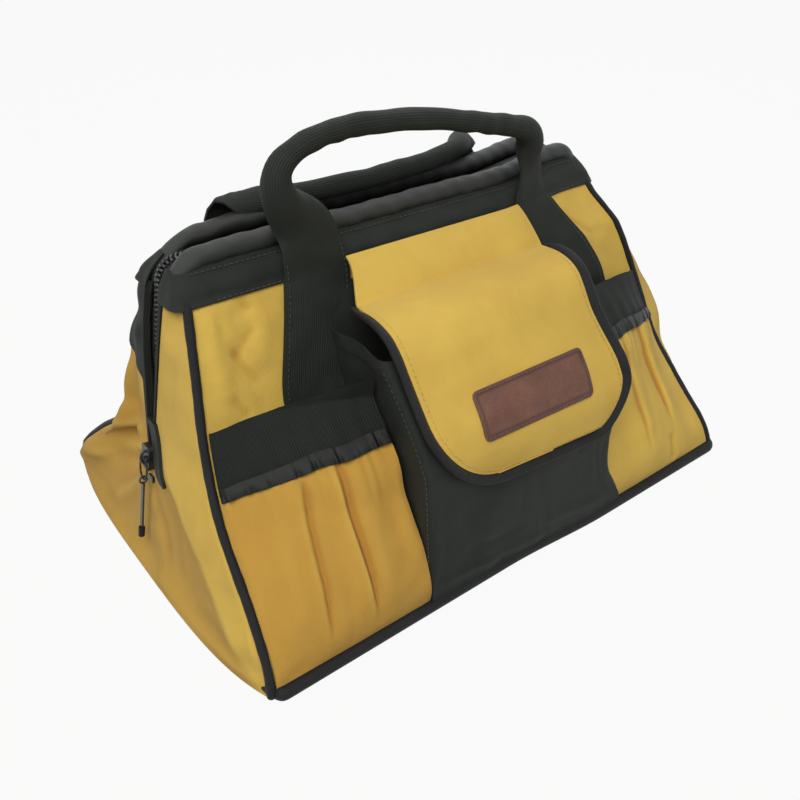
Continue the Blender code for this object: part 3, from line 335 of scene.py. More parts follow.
def tube(name, path, radius, side, material, sides=12, closed=False, squeeze=1.0, wobble=None):
    """A round cord along a path: rings square to it, with a domed end where it isn't closed.

    The ring's first direction is the part of side that is square to the path; squeeze flattens the
    second one; wobble adds to the radius at each ring and angle."""
    side = np.asarray(side, float)
    radii = np.broadcast_to(np.asarray(radius, float), len(path))
    if closed:
        along = unit(np.roll(path, -1, axis=0) - np.roll(path, 1, axis=0))
    else:
        along = unit(np.gradient(path, axis=0))
        side = np.pad(side, ((4, 4), (0, 0)), mode="edge") if side.ndim == 2 else side
        turn = np.linspace(math.pi / 2, 0, 5)[:-1]
        dome, lift = np.cos(turn), np.sin(turn)
        path = np.concatenate([path[0] - along[0] * radii[0] * lift[:, None], path,
                               path[-1] + along[-1] * radii[-1] * lift[::-1, None]])
        radii = np.maximum(np.concatenate([radii[0] * dome, radii, radii[-1] * dome[::-1]]), 1e-5)
        along = np.concatenate([np.repeat(along[:1], 4, 0), along, np.repeat(along[-1:], 4, 0)])
    side = np.broadcast_to(side, path.shape)
    first = unit(side - along * (side * along).sum(axis=1, keepdims=True))
    second = np.cross(along, first) * squeeze
    angles = np.linspace(0, 2 * math.pi, sides, endpoint=False)
    size = radii[:, None] + (0 if wobble is None else wobble(np.arange(len(path)), angles))
    rings = (path[:, None] + size[..., None] * (np.cos(angles)[None, :, None] * first[:, None]
                                                + np.sin(angles)[None, :, None] * second[:, None]))
    index = np.arange(len(path) * sides).reshape(len(path), sides)
    beside = np.roll(index, -1, axis=1)
    run = run_along(path)
    if closed:
        faces = np.stack([index, beside, np.roll(beside, -1, axis=0), np.roll(index, -1, axis=0)], axis=-1)
        run = np.concatenate([run, [run[-1] + np.linalg.norm(path[0] - path[-1])]])
    else:
        faces = np.stack([index[:-1], beside[:-1], beside[1:], index[1:]], axis=-1)
    u = np.arange(sides + 1) / sides * 2 * math.pi * float(np.mean(radii))
    low, high, left, right = run[:len(faces), None], run[1:len(faces) + 1, None], u[None, :-1], u[None, 1:]
    corners = [np.stack(np.broadcast_arrays(*corner), axis=-1)
               for corner in ((left, low), (right, low), (right, high), (left, high))]
    uvs = np.stack(corners, axis=2).reshape(-1, 2)
    faces = faces.reshape(-1, 4).tolist()
    if not closed:
        faces += [index[0][::-1].tolist(), index[-1].tolist()]
        uvs = np.concatenate([uvs, np.zeros((2 * sides, 2))])
    return new_piece(name, rings.reshape(-1, 3), faces, uvs, material, smooth=60.0)


def stitches(name, path, out, material, length=0.0024, gap=0.0011, thread=0.00038):
    """A row of stitches: capsules of thread along a path, each one arched out of the cloth at its middle."""
    run = run_along(path)
    count = int(run[-1] / (length + gap))
    start = (np.arange(count) + 0.5) * run[-1] / count - length / 2
    rings, sides = 5, 6
    share = np.linspace(0, 1, rings)
    at = start[:, None] + share[None, :] * length
    spot = at_runs(at, run, path)
    up = unit(at_runs(at, run, np.broadcast_to(np.asarray(out, float), path.shape)))
    across = np.cross(unit(np.gradient(spot, axis=1)), up)
    spot = spot + up * (thread * (np.sin(math.pi * share) * 1.1 - 0.3))[None, :, None]
    size = thread * np.array([0.35, 0.85, 1, 0.85, 0.35])
    angles = np.linspace(0, 2 * math.pi, sides, endpoint=False)
    ring = np.cos(angles)[:, None] * across[:, :, None] + np.sin(angles)[:, None] * up[:, :, None]
    ring = spot[:, :, None] + size[None, :, None, None] * ring
    index = np.arange(count * rings * sides).reshape(count, rings, sides)
    beside = np.roll(index, -1, axis=2)
    walls = np.stack([index[:, :-1], index[:, 1:], beside[:, 1:], beside[:, :-1]], axis=-1).reshape(-1, 4)
    faces = walls.tolist() + index[:, 0].tolist() + index[:, -1, ::-1].tolist()
    return new_piece(name, ring.reshape(-1, 3), faces, None, material, smooth=80.0)


print("helpers for cloth, cords and stitches are ready")

# %% [markdown]
# Shader maths reads best as arithmetic. A small class wraps a socket, and each operator on it adds one
# Math node. One method adds any other node: its settings first, then the values or links of its sockets.


# %% Shader maths as Python expressions
class Value:
    """A number, colour or vector inside a material, on which operators add Math nodes."""

    def __init__(self, tree, socket):
        self.tree, self.socket = tree, socket

    def math(self, operation, *others, clamp=False):
        node = self.tree.nodes.new("ShaderNodeMath")
        node.operation = operation
        node.use_clamp = clamp
        for socket, value in zip(node.inputs, (self, *others)):
            feed(self.tree, socket, value)
        return Value(self.tree, node.outputs[0])

    def __add__(self, other):
        return self.math("ADD", other)

    def __sub__(self, other):
        return self.math("SUBTRACT", other)

    def __mul__(self, other):
        return self.math("MULTIPLY", other)

    def __rsub__(self, other):
        return (self * -1.0).math("ADD", other)

    def __pow__(self, other):
        return self.math("POWER", other)

    __radd__ = __add__
    __rmul__ = __mul__


def feed(tree, socket, value):
    """Links a Value to a socket, or sets the socket to a number, colour or vector."""
    if isinstance(value, Value):
        tree.links.new(value.socket, socket)
    else:
        socket.default_value = value


class Finish:
    """A material being made from nodes, around one Principled shader."""

    def __init__(self, name, roughness, metallic=0.0, sheen=0.0, specular=0.5):
        self.material = bpy.data.materials.new(name)
        self.material.use_nodes = True
        self.tree = self.material.node_tree
        self.shader = self.tree.nodes["Principled BSDF"]
        self.shader.inputs["Roughness"].default_value = roughness
        self.shader.inputs["Metallic"].default_value = metallic
        self.shader.inputs["Sheen Weight"].default_value = sheen
        self.shader.inputs["Sheen Roughness"].default_value = 0.5
        self.shader.inputs["Specular IOR Level"].default_value = specular

    def node(self, kind, settings=None, values=None, output=0):
        """Adds a node: its settings, then its sockets' values or links; gives one of its outputs."""
        made = self.tree.nodes.new("ShaderNode" + kind)
        for key, value in (settings or {}).items():
            setattr(made, key, value)
        for key, value in (values or {}).items():
            feed(self.tree, made.inputs[key], value)
        return Value(self.tree, made.outputs[output])

    def ramp(self, value, low, high):
        """0 where the value is below low and 1 where it is above high."""
        return self.node("MapRange", {}, {0: value, 1: low, 2: high, 3: 0.0, 4: 1.0})

    def mix(self, share, first, second):
        """A colour from first to second, either of them three numbers or a colour made before."""
        first, second = [(*colour, 1) if isinstance(colour, tuple) else colour for colour in (first, second)]
        return self.node("Mix", {"data_type": "RGBA"}, {0: share, 6: first, 7: second}, output=2)

    def shade(self, value, low, high, dark, light):
        """Dark where the value is below low, light where it is above high."""
        return self.mix(self.ramp(value, low, high), dark, light)

    def place(self):
        """Object coordinates, in metres."""
        return self.node("TexCoord", output=3)

    def noise(self, scale, detail=2.0, roughness=0.5):
        """Soft noise about 0.5, at so many lumps to the metre."""
        return self.node("TexNoise", {}, {"Scale": scale, "Detail": detail, "Roughness": roughness,
                                          "Vector": self.place()})

    def two(self, vector):
        """The first two numbers of a vector."""
        return self.node("SeparateXYZ", {}, {0: vector}), self.node("SeparateXYZ", {}, {0: vector}, output=1)

    def metres(self):
        """The two texture coordinates, in metres."""
        return self.two(self.node("UVMap", {"uv_map": "cloth"}))

    def hollow(self):
        """The mesh's hollow value: on cloth, how hollow it is plus its painted shade; on the leather, its
        darker rim.
        """
        return self.node("Attribute", {"attribute_name": "hollow"}, output=2)

    def set(self, **values):
        """Sets or links the shader's own sockets; underscores in a name stand for spaces."""
        for key, value in values.items():
            feed(self.tree, self.shader.inputs[key.replace("_", " ")], value)

    def bump(self, height, distance, strength=1.0, under=None):
        """Turns a height into a normal, over another normal if there is one."""
        values = {"Height": height, "Distance": distance, "Strength": strength}
        if under is not None:
            values["Normal"] = under
        return self.node("Bump", {}, values)


def waves(place, pitch):
    """A sine along a place, which crosses zero at every pitch."""
    return (place * (math.pi / pitch)).math("SINE")


def woven(name, light, dark, thread, roughness, sheen, crease_shade, depth=0.00022, specular=0.3):
    """Plain-woven cloth: where warp and weft cross, the upper thread shows as a small pillow.

    Along each thread direction the height is the size of a sine; the sign of the two sines' product
    says which of the two threads lies on top. Painted shade darkens the hollows toward a given darker,
    browner colour."""
    cloth = Finish(name, roughness, sheen=sheen, specular=specular)
    u, v = cloth.metres()
    wave_u, wave_v = waves(u, thread), waves(v, thread)
    over = (wave_u * wave_v).math("GREATER_THAN", 0.0)
    pillow_u, pillow_v = wave_u.math("ABSOLUTE"), wave_v.math("ABSOLUTE")
    weave = over * pillow_u * (pillow_v ** 0.4) + (1 - over) * pillow_v * (pillow_u ** 0.4)
    blotch = cloth.noise(11.0, 3.0)
    grime = cloth.noise(60.0, 4.0)
    colour = cloth.shade(blotch * 0.65 + grime * 0.35, 0.36, 0.66, dark, light)
    threads = cloth.mix(cloth.ramp(weave, 0.0, 0.75) * 0.30 + 0.70, tuple(c * 0.62 for c in dark), colour)
    # painted shade: where the mesh's hollow value is high, the colour goes toward the darker, browner colour
    # given for crease shade
    crease_shaded = cloth.mix(cloth.ramp(cloth.hollow(), 0.00015, 0.0018) * 0.8, threads, crease_shade)
    cloth.set(Base_Color=crease_shaded, Roughness=cloth.ramp(grime, 0.2, 0.8) * 0.12 + (roughness - 0.06))
    wrinkle = cloth.bump(cloth.noise(95.0, 3.0) + cloth.noise(330.0, 2.0) * 0.25, 0.0012, 0.35)
    cloth.set(Normal=cloth.bump(weave, depth, 0.8, under=wrinkle))
    return cloth.material


def ribbed(name, light, dark, pitch, roughness, sheen):
    """Webbing: ribs run along the strap, and each is crossed by slanting threads in a herringbone."""
    tape = Finish(name, roughness, sheen=sheen, specular=0.15)
    u, v = tape.metres()
    rib = waves(u, pitch).math("ABSOLUTE")
    slant = waves(u, pitch).math("SIGN") * u
    thread = waves(v + slant, pitch * 0.4) * 0.5 + 0.5
    weave = (rib ** 0.6) * (thread * 0.35 + 0.65)
    wear = tape.noise(38.0, 4.0)
    tape.set(Base_Color=tape.shade(weave * 0.7 + wear * 0.5, 0.35, 1.05, dark, light))
    soft = tape.bump(tape.noise(120.0, 3.0), 0.0008, 0.3)
    tape.set(Normal=tape.bump(weave, 0.00035, 0.9, under=soft))
    return tape.material


def black_woven(name, light, dark, roughness, specular, sheen=0.02, crease_shade=0.004, depth=0.00015):
    """Black cloth with a finer thread than the yellow."""
    return woven(name, light, dark, 0.00060, roughness, sheen, (crease_shade,) * 3, depth, specular)


# the last colour is the painted shade in the yellow cloth's hollows and creases
yellow = woven("yellow_cloth", (0.76, 0.515, 0.098), (0.66, 0.425, 0.076), 0.00075, 0.82, 0.06,
               crease_shade=(0.39, 0.160, 0.018))
black = black_woven("black_cloth", (0.022, 0.0255, 0.021), (0.010, 0.012, 0.010), 0.60, 0.16)
satin = black_woven("black_mouth_cloth", (0.015, 0.018, 0.0145), (0.006, 0.0075, 0.006), 0.46, 0.42)
shiny_black = black_woven("shiny_black_tape", (0.010, 0.012, 0.010), (0.004, 0.005, 0.004), 0.42, 0.24,
                          sheen=0.01, crease_shade=0.002, depth=0.00012)
webbing = ribbed("black_webbing", (0.024, 0.0285, 0.023), (0.009, 0.011, 0.009), 0.0016, 0.62, 0.02)
elastic = ribbed("black_elastic", (0.013, 0.0155, 0.0125), (0.005, 0.006, 0.005), 0.0016, 0.62, 0.01)
print("cloth and webbing are ready")

# %% [markdown]
# The small finishes: piping shows the slanting threads of the tape wrapped round its cord, leather has a
# grain of small cells, the teeth and the slider are black lacquered metal, and the rods are plated steel.


# %% Small finishes
def piping_finish():
    """Black woven tape wrapped round a cord: fine slanting threads."""
    cord = Finish("black_piping", 0.55, sheen=0.02, specular=0.18)
    u, v = cord.metres()
    weave = waves(u + v, 0.0007).math("ABSOLUTE") * waves(u - v, 0.0007).math("ABSOLUTE")
    worn = cord.noise(45.0, 3.0) * 0.7 + weave * 0.4
    cord.set(Base_Color=cord.shade(worn, 0.3, 0.95, (0.005, 0.005, 0.006), (0.016, 0.017, 0.018)),
             Normal=cord.bump(weave, 0.00012, 0.8, under=cord.bump(cord.noise(150.0), 0.0006, 0.4)))
    return cord.material


def leather_finish():
    """Brown leather: a grain of small cells, darker towards the patch's edges and in its pressed border."""
    hide = Finish("brown_leather", 0.5, specular=0.4)
    cells = hide.node("TexVoronoi", {"feature": "DISTANCE_TO_EDGE"}, {"Vector": hide.place(), "Scale": 620.0})
    grain = hide.ramp(cells, 0.0, 0.25)
    cloud = hide.noise(70.0, 4.0)
    patchy = cloud * 0.7 + hide.noise(900.0, 3.0) * 0.3
    colour = hide.shade(patchy, 0.35, 0.65, (0.122, 0.048, 0.031), (0.185, 0.082, 0.053))
    colour = hide.mix(hide.ramp(hide.hollow(), 0.0, 1.0) * 0.72, colour, (0.060, 0.022, 0.020))
    colour = hide.mix((1 - grain) * 0.35, colour, (0.07, 0.028, 0.018))
    hide.set(Base_Color=colour, Roughness=hide.ramp(grain, 0.0, 1.0) * -0.12 + 0.58,
             Normal=hide.bump(grain, 0.00016, 0.7, under=hide.bump(cloud, 0.0012, 0.25)))
    return hide.material


def metal_finish(name, light, dark, roughness, metallic):
    """Metal with a fine grain, and duller, darker smudges."""
    metal = Finish(name, roughness, metallic=metallic)
    smudge = metal.noise(90.0, 4.0)
    metal.set(Base_Color=metal.shade(smudge, 0.35, 0.7, dark, light),
              Roughness=metal.ramp(smudge, 0.3, 0.7) * 0.18 + (roughness - 0.09),
              Normal=metal.bump(metal.noise(1500.0, 2.0), 0.00002, 0.4))
    return metal.material


def board_finish():
    """Fibre board: short dark fibres in a brown ground."""
    board = Finish("brown_board", 0.9)
    fibre = board.noise(420.0, 5.0, roughness=0.7)
    board.set(Base_Color=board.shade(fibre, 0.35, 0.65, (0.15, 0.10, 0.06), (0.26, 0.18, 0.11)),
              Normal=board.bump(fibre, 0.0004, 0.6))
    return board.material


def thread_finish(name, light, dark):
    """Twisted sewing thread: fine light and dark flecks, raised a little."""
    thread = Finish(name, 0.55, sheen=0.2)
    twist = thread.noise(2600.0, 1.0)
    thread.set(Base_Color=thread.shade(twist, 0.4, 0.6, dark, light), Normal=thread.bump(twist, 0.0001, 0.6))
    return thread.material


piping = piping_finish()
leather = leather_finish()
black_metal = metal_finish("black_metal", (0.060, 0.060, 0.062), (0.020, 0.020, 0.022), 0.36, 0.65)
steel = metal_finish("steel", (0.62, 0.62, 0.63), (0.42, 0.42, 0.43), 0.32, 1.0)
pull_steel = metal_finish("pull_steel", (0.115, 0.118, 0.118), (0.055, 0.057, 0.057), 0.40, 1.0)
board = board_finish()
black_thread = thread_finish("black_thread", (0.011, 0.012, 0.011), (0.005, 0.005, 0.005))
yellow_thread = thread_finish("yellow_thread", (0.66, 0.44, 0.09), (0.46, 0.29, 0.05))
brown_thread = thread_finish("brown_thread", (0.10, 0.045, 0.03), (0.05, 0.02, 0.014))
print("materials:", len(bpy.data.materials))

# %% [markdown]
# Cloth that has been folded, packed and sewn is never flat. Three simple fields make its relief: soft
# ripples from a few waves in seeded directions, a fold along a line, and a pleat, which is a fold with
# one steep side. Their sum lifts the cloth along its normals, and fades out at the seams.


# %% Relief of the cloth
def ripples(u, v, seed, size):
    """Waves of about one size in seeded directions, their fronts bent by a slower wave; within -1 to 1."""
    rng, count = np.random.default_rng(seed), 7
    bend = 0.35 * size * np.sin(2 * math.pi * (u * 0.7 + v * 0.5) / (size * 2.7) + rng.uniform(0, 6))
    limits = ((0, math.pi), (0, 6.28), (0.6, 1.5))
    turns, phases, scales = [rng.uniform(low, high, count) for low, high in limits]
    total = 0.0
    for turn, phase, scale in zip(turns, phases, scales):
        front = (u + bend) * math.cos(turn) + (v - bend) * math.sin(turn)
        total = total + np.sin(front * 2 * math.pi / (size * scale) + phase)
    return total / (1.5 * math.sqrt(count))


def line_place(u, v, start, end):
    """Share along a line from start to end, and the signed distance across it."""
    (a, b), (c, d) = start, end
    length = math.hypot(c - a, d - b)
    return (((u - a) * (c - a) + (v - b) * (d - b)) / length ** 2,
            ((v - b) * (c - a) - (u - a) * (d - b)) / length)


def fold(u, v, start, end, width, height):
    """A soft ridge (or a valley, where height is negative) along a line, tapering at both ends."""
    along, across = line_place(u, v, start, end)
    taper = soft_step(-0.15, 0.2, along) * soft_step(1.15, 0.8, along)
    return height * taper * np.exp(-(across / width) ** 2)


def pleat(u, v, start, end, width, height):
    """A lap of cloth along a line: it drops steeply on one side and dies away slowly on the other."""
    steep = 0.0012
    along, across = line_place(u, v, start, end)
    taper = soft_step(-0.1, 0.15, along) * soft_step(1.1, 0.75, along)
    return height * taper * (soft_step(-steep, steep, across) * np.exp(-np.maximum(across, 0) / width)
                             - 0.35 * np.exp(-(across / (1.6 * steep)) ** 2))


def lap_shade(u, v, start, end, strength):
    """The soft brown shade beside a lap of cloth, on its low side."""
    along, across = line_place(u, v, start, end)
    taper = soft_step(-0.05, 0.10, along) * soft_step(1.0, 0.6, along)
    return strength * taper * np.exp(-((across + 0.0016) / 0.0026) ** 2)


def near_edges(shape, left=0.05, right=0.05, low=0.05, high=0.05):
    """1 over the middle of a grid and 0 at its edges, rising over a share of its width or height."""
    across, along = in_row(0, 1, shape[1]), in_column(0, 1, shape[0])
    mask = np.ones(shape)
    for width, place in ((left, across), (right, 1 - across), (low, along), (high, 1 - along)):
        if width:
            mask = mask * soft_step(0, width, place)
    return mask


# %% [markdown]
# The two long walls are single cloths between the corner pipings. The photograph shows the front one
# only beside the straps, where it is puckered, so the folds there are strong and upright. A grid of
# points gives each fold its place, which a simulated cloth would not.


# %% Walls
def build_wall_cloth(word, wall):
    """The wall's cloth: the profile carried between the corner seams, with upright puckers near the top."""
    z = in_column(WALL_FOOT, WALL_HEIGHT - 0.001, 96)
    share = in_row(-1, 1, 161)
    x = share * (corner_half(z) - PIPING * 0.6)
    toward = (0, wall, 0)
    seed = 11 if wall == FRONT else 12
    edges = near_edges(x.shape, 0.03, 0.03, 0.04, 0.05)
    held = soft_step(0.142, 0.128, np.abs(x)) * (1.0 if wall == FRONT else soft_step(0.060, 0.074, np.abs(x)))
    folds = sum(fold(x, z, *line) for line in wall_folds) * (wall == FRONT)
    folds = folds * edges * soft_step(0.112, 0.124, np.abs(x))
    relief = 0.0011 * ripples(x, z * 0.5, seed, 0.050) + 0.0003 * ripples(x * 1.3, z, seed + 20, 0.022)
    face = raised(grid_of(x, wall * wall_reach(z), z), toward, relief * edges * (1 - held) + folds)
    # painted shade: the front wall's folds give hollow values that darken and brown the cloth in their
    # creases
    cloth = shell(f"{word}_wall_cloth", face, toward, CLOTH, yellow, hollows(folds))
    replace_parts(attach(cloth, f"{word}_wall"), f"{word}_panel")


wall_folds = (
    ((-0.137, 0.190), (-0.134, 0.180), 0.004, -0.0009),
    ((-0.132, 0.174), (-0.151, 0.159), 0.004, -0.0009),
    ((-0.151, 0.164), (-0.139, 0.140), 0.004, -0.0009),
    ((-0.126, 0.178), (-0.137, 0.150), 0.008, 0.0018),
    ((-0.158, 0.139), (-0.150, 0.125), 0.004, -0.0009),
    ((-0.158, 0.186), (-0.161, 0.136), 0.006, 0.0012),
    ((0.116, 0.190), (0.152, 0.158), 0.0045, -0.0020),
    ((0.128, 0.188), (0.158, 0.150), 0.006, 0.0016),
)
for word, wall in both_walls:
    build_wall_cloth(word, wall)


def build_pocket_back():
    """The black cloth behind the centre pocket's mouth, sewn flat to the wall between the straps; above the
    pocket's rim it also stands in for the shade under the flap.
    """
    foot, top = 0.085, 0.181
    z = in_column(foot, top, 30)
    left = -0.0905 + 0.104 * (z - foot)
    right = 0.0790 + 0.0265 * np.clip((0.190 - z) / 0.060, 0, 1)
    x = left + (right - left) * in_row(0, 1, 60)
    reach, height = wall_point(z, 0.0009)
    back = shell("centre_pocket_back", grid_of(x, -reach, height), (0, -1, 0), 0.0008, black)
    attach(back, "front_wall")


build_pocket_back()
print("walls done")

# %% [markdown]
# Each end is one triangle of cloth, split by the zip from its top to half way down. When a wall swings
# out, its half of the end follows at the top and stays with the base at the bottom. So each half is a
# piece of its own; here it is baked in place and attached to neither body.


# %% Ends
def zip_slot(z):
    """Half width of the gap in the end's cloth: shut below the zip's foot, widening to the mouth."""
    at_foot, widening = 0.0030, 0.0098
    share = np.clip((z - ZIP_FOOT) / (WALL_HEIGHT - ZIP_FOOT), 0, 1)
    return (at_foot + widening * share) * soft_step(ZIP_FOOT - 0.012, ZIP_FOOT + 0.002, z)


def end_relief(y, z, side):
    """Waves of the end's slack cloth, and its folds from the zip's foot; the left end has one long ridge."""
    seed = 31 if side == LEFT else 37
    folds = sum(fold(y, z, *line) for line in (end_folds if side == LEFT else right_end_folds))
    if side == LEFT:
        along, across = line_place(y, z, *ridge_line)
        ridge = soft_step(-0.08, 0.25, along) * soft_step(1.0, 0.8, along)
        height, blunt, spread = 0.0062, 0.0015, 0.015
        folds = folds + height * ridge * np.exp(-np.sqrt(across ** 2 + blunt ** 2) / spread)
    return 0.0014 * ripples(y * 0.7, z * 1.2, seed, 0.060) + 0.0004 * ripples(y, z, seed + 5, 0.026), folds


def end_surface(side, wall, y, z):
    """Points of an end's cloth at a distance y from its middle line and a height, without its relief."""
    seam = np.clip(y / (wall_reach(z) - PIPING * 0.7), 0, 1)
    x = end_half(seam, z, EAR if side == RIGHT else 0.0)
    droop = (0.0050 if side == LEFT else 0.0020) * np.exp(-(z / 0.010) ** 2) * (1 - seam ** 6)
    amount = hermite(z, (0, 0.025, 0.060, 0.090, 0.130, 0.160, 0.19), (0, 0.7, 1, 0.95, 0.5, 0.2, 0)) * 0.015
    slump = amount * np.sin(math.pi * seam ** 7) * ((side, wall) == (LEFT, REAR))
    return grid_of(side * (x + droop + slump), wall * y, z)


def bend_end(piece):
    """Bakes a piece of an end into place; it is attached to neither the base nor its wall, and does not bend."""
    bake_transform(piece)


def build_end_half(end, side, word, wall):
    """One half of an end, from the base up to the mouth, between the zip and the corner piping."""
    z = in_column(0.0012 if side == LEFT else 0.0055, WALL_HEIGHT - 0.002, 120)
    share = in_row(0, 1, 90)
    inner = zip_slot(z)
    y = inner + (wall_reach(z) - PIPING * 0.7 - inner) * share
    flat = end_surface(side, wall, y, z)
    slack, folds = end_relief(wall * y, z, side)
    slot = soft_step(0.0, SLOT_FADE, np.where(z > ZIP_FOOT - 0.01, y - inner, 1.0))
    slot = slot * near_edges(slack.shape, 0.0, 0.06, 0.03, 0.02)
    # painted shade: the folds' hollows darken and brown the cloth, and on the left end a darker, browner cast
    # is painted on the rear side of the long ridge
    painted_shade = hollows(folds * slot)
    if side == LEFT:
        behind = line_place(wall * y, z + 0 * y, *ridge_line)[1]
        painted_shade = painted_shade + painted_shade_value(0.42 * soft_step(-0.003, 0.010, behind))
    toward = (side, 0, 0)
    face = raised(flat, toward, (slack + folds) * slot)
    cloth = shell(f"{end}_end_{word}_half", face, toward, CLOTH, yellow, painted_shade)
    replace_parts(cloth, f"{end}_gusset", f"{word}_{end}_wing")
    bend_end(cloth)


SLOT_FADE = 0.013
ridge_line = ((-0.014, 0.100), (-0.136, 0.003))
end_folds = (
    ((0.004, 0.088), (0.066, 0.058), 0.006, 0.0030),
    ((0.008, 0.080), (0.084, 0.042), 0.006, -0.0030),
    ((0.014, 0.096), (0.108, 0.064), 0.006, 0.0036),
    ((0.022, 0.090), (0.112, 0.050), 0.006, -0.0034),
    ((0.046, 0.060), (0.112, 0.032), 0.007, 0.0030),
    ((0.010, 0.070), (0.060, 0.020), 0.006, 0.0020),
    ((0.000, 0.066), (-0.030, 0.024), 0.006, -0.0014),
    ((-0.050, 0.100), (-0.070, 0.060), 0.007, 0.0012),
)
right_end_folds = (
    ((-0.050, 0.110), (-0.070, 0.060), 0.007, 0.0020),
    ((-0.030, 0.090), (-0.090, 0.040), 0.007, -0.0018),
    ((0.050, 0.110), (0.075, 0.055), 0.007, 0.0018),
    ((0.020, 0.080), (0.080, 0.030), 0.008, -0.0016),
)
for end, side in both_ends:
    for word, wall in both_walls:
        build_end_half(end, side, word, wall)
print("ends done")

# %% [markdown]
# The zip is sewn in with black strips, which frame it as a dark wedge that narrows to its foot. On the
# left end the rear strip widens near the mouth, out to the corner seam. They lie on the end's own
# surface and relief, so they are computed from the same functions.


# %% Strips beside the zip
def build_zip_strip(end, side, word, wall):
    """A black strip that lies on an end's cloth along the zip, wider behind it and at the mouth."""
    z = in_column(ZIP_FOOT - 0.011, WALL_HEIGHT - 0.0008, 90)
    share = in_row(0, 1, 26) ** 1.8
    inner = zip_slot(z) - 0.0014
    rise = np.clip((z - ZIP_FOOT) / (WALL_HEIGHT - ZIP_FOOT), 0, 1)
    width = 0.0022 + 0.0022 * rise
    if (side, wall) == (LEFT, REAR):
        to_corner = wall_reach(z) - 0.0024 - inner - 0.0070
        width = 0.0034 + 0.0036 * rise + to_corner * soft_step(0.138, 0.152, z + 0.1 * share * 0.06)
    y = inner + width * share
    slack, folds = end_relief(wall * y, z + 0 * y, side)
    lift = (slack + folds) * soft_step(0.0, SLOT_FADE, y - zip_slot(z))
    lift = lift * near_edges(y.shape, 0, 0, 0.02, 0.02) + 0.0013 - 0.0036 * soft_step(0.0013, 0.0, y - inner)
    toward = (side, 0, 0)
    face = raised(end_surface(side, wall, y, z), toward, lift)
    strip = shell(f"{end}_{word}_zip_strip", face, toward, THIN_CLOTH, elastic)
    bend_end(strip)


for end, side in both_ends:
    for word, wall in both_walls:
        build_zip_strip(end, side, word, wall)


def build_foot_tab():
    """The black tab sewn over the zip's foot, in front of the slider, slanting down and forward."""
    along, share = in_column(0, 1, 30), in_row(-1, 1, 12)
    half = 0.0062 * np.sqrt(1 - (2 * np.maximum(along - 0.86, 0) / 0.28) ** 2 * 0.8)
    y = 0.0010 + 0.0180 * along + share * half
    z = 0.1100 - 0.0370 * along + 0 * share
    slack, folds = end_relief(-y, z, LEFT)
    toward = (LEFT, 0, 0)
    face = raised(end_surface(LEFT, FRONT, y, z), toward, slack + folds + 0.0022)
    tab = shell("left_zip_foot_tab", face, toward, 0.0024, black)
    bend_end(tab)


build_foot_tab()
print("zip strips done")

# %% [markdown]
# Piping is a cord in a wrap of tape, sewn into a seam: one thick round line down each corner of the
# walls and round the base.


# %% Piping
def bumpy(amount, seed):
    """Small swellings along a cord, for tube's wobble."""
    rng = np.random.default_rng(seed)
    phase = rng.uniform(0, 6.28, 4)

    def swell(ring, angle):
        wave = sum(np.sin(ring * k + p) for k, p in zip((0.31, 0.53, 0.87, 1.41), phase))
        return amount * wave[:, None] * 0.4 + 0 * angle[None, :]
    return swell


def build_corner_piping(word, wall, end, side):
    """The cord along a corner of a wall, from the base piping to the facing."""
    z = np.linspace(0.0050, 0.1905, 90)
    path = grid_of(side * corner_half(z), wall * wall_reach(z), z)
    cord = tube(f"{word}_{end}_corner_piping", path, PIPING, (side, 0, 0), piping, sides=14,
                wobble=bumpy(0.00012, 41))
    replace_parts(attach(cord, f"{word}_wall"), f"{word}_{end}_piping")


def base_outline(inset):
    """The base's plan: straight long sides, round corners and bowed ends, drawn in by inset."""
    corner = 0.008
    length, depth = BASE_LENGTH / 2 - inset, BASE_DEPTH / 2 - inset
    turn = np.linspace(math.pi / 2, 0, 12)
    corner_x = length - corner + corner * np.cos(turn)
    corner_y = -(depth - corner + corner * np.sin(turn))
    y = np.linspace(-(depth - corner), depth - corner, 61)[1:-1]
    end_x = length + END_BOW * (1 - np.abs(y / (depth - corner)) ** 3)
    front_x = np.linspace(-(length - corner), length - corner, 81)[1:-1]
    half = np.concatenate([np.stack([front_x, np.full(79, -depth)], -1), np.stack([corner_x, corner_y], -1),
                           np.stack([end_x, y], -1), np.stack([corner_x[::-1], -corner_y[::-1]], -1)])
    return np.concatenate([half, -half])


for word, wall in both_walls:
    for end, side in both_ends:
        build_corner_piping(word, wall, end, side)
outline = base_outline(-0.0012)
path = grid_of(outline[:, 0], outline[:, 1], BASE_PIPING)
path[:, 0] += BASE_PIPING * (path[:, 0] < 0) * soft_step(0.1485, 0.1425, np.abs(path[:, 1]))
cord = tube("base_seam_piping", path, BASE_PIPING, (0, 0, 1), piping, sides=16, closed=True)
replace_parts(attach(cord, "base"), "base_piping")
print("pipings done")

# %% [markdown]
# The mouth has a steel rod along each side, in a sleeve of black cloth. A facing joins the sleeve to the
# yellow wall, and turns the corner to cover the top of the end as far as the zip.


# %% Facings and sleeves
def mouth_outline(reach, end_length, corner):
    """Half of a level outline round the mouth: along the wall, round a corner, along the end to the zip."""
    slot, count = 0.0118, 90
    straight, last = end_length - corner, reach - corner
    arc = np.linspace(0, math.pi / 2, 9)
    x = np.concatenate([np.linspace(0, straight, count)[:-1], straight + corner * np.sin(arc),
                        [end_length] * 2])
    y = np.concatenate([np.full(count - 1, reach), last + corner * np.cos(arc), [(last + slot) / 2, slot]])
    return x, y


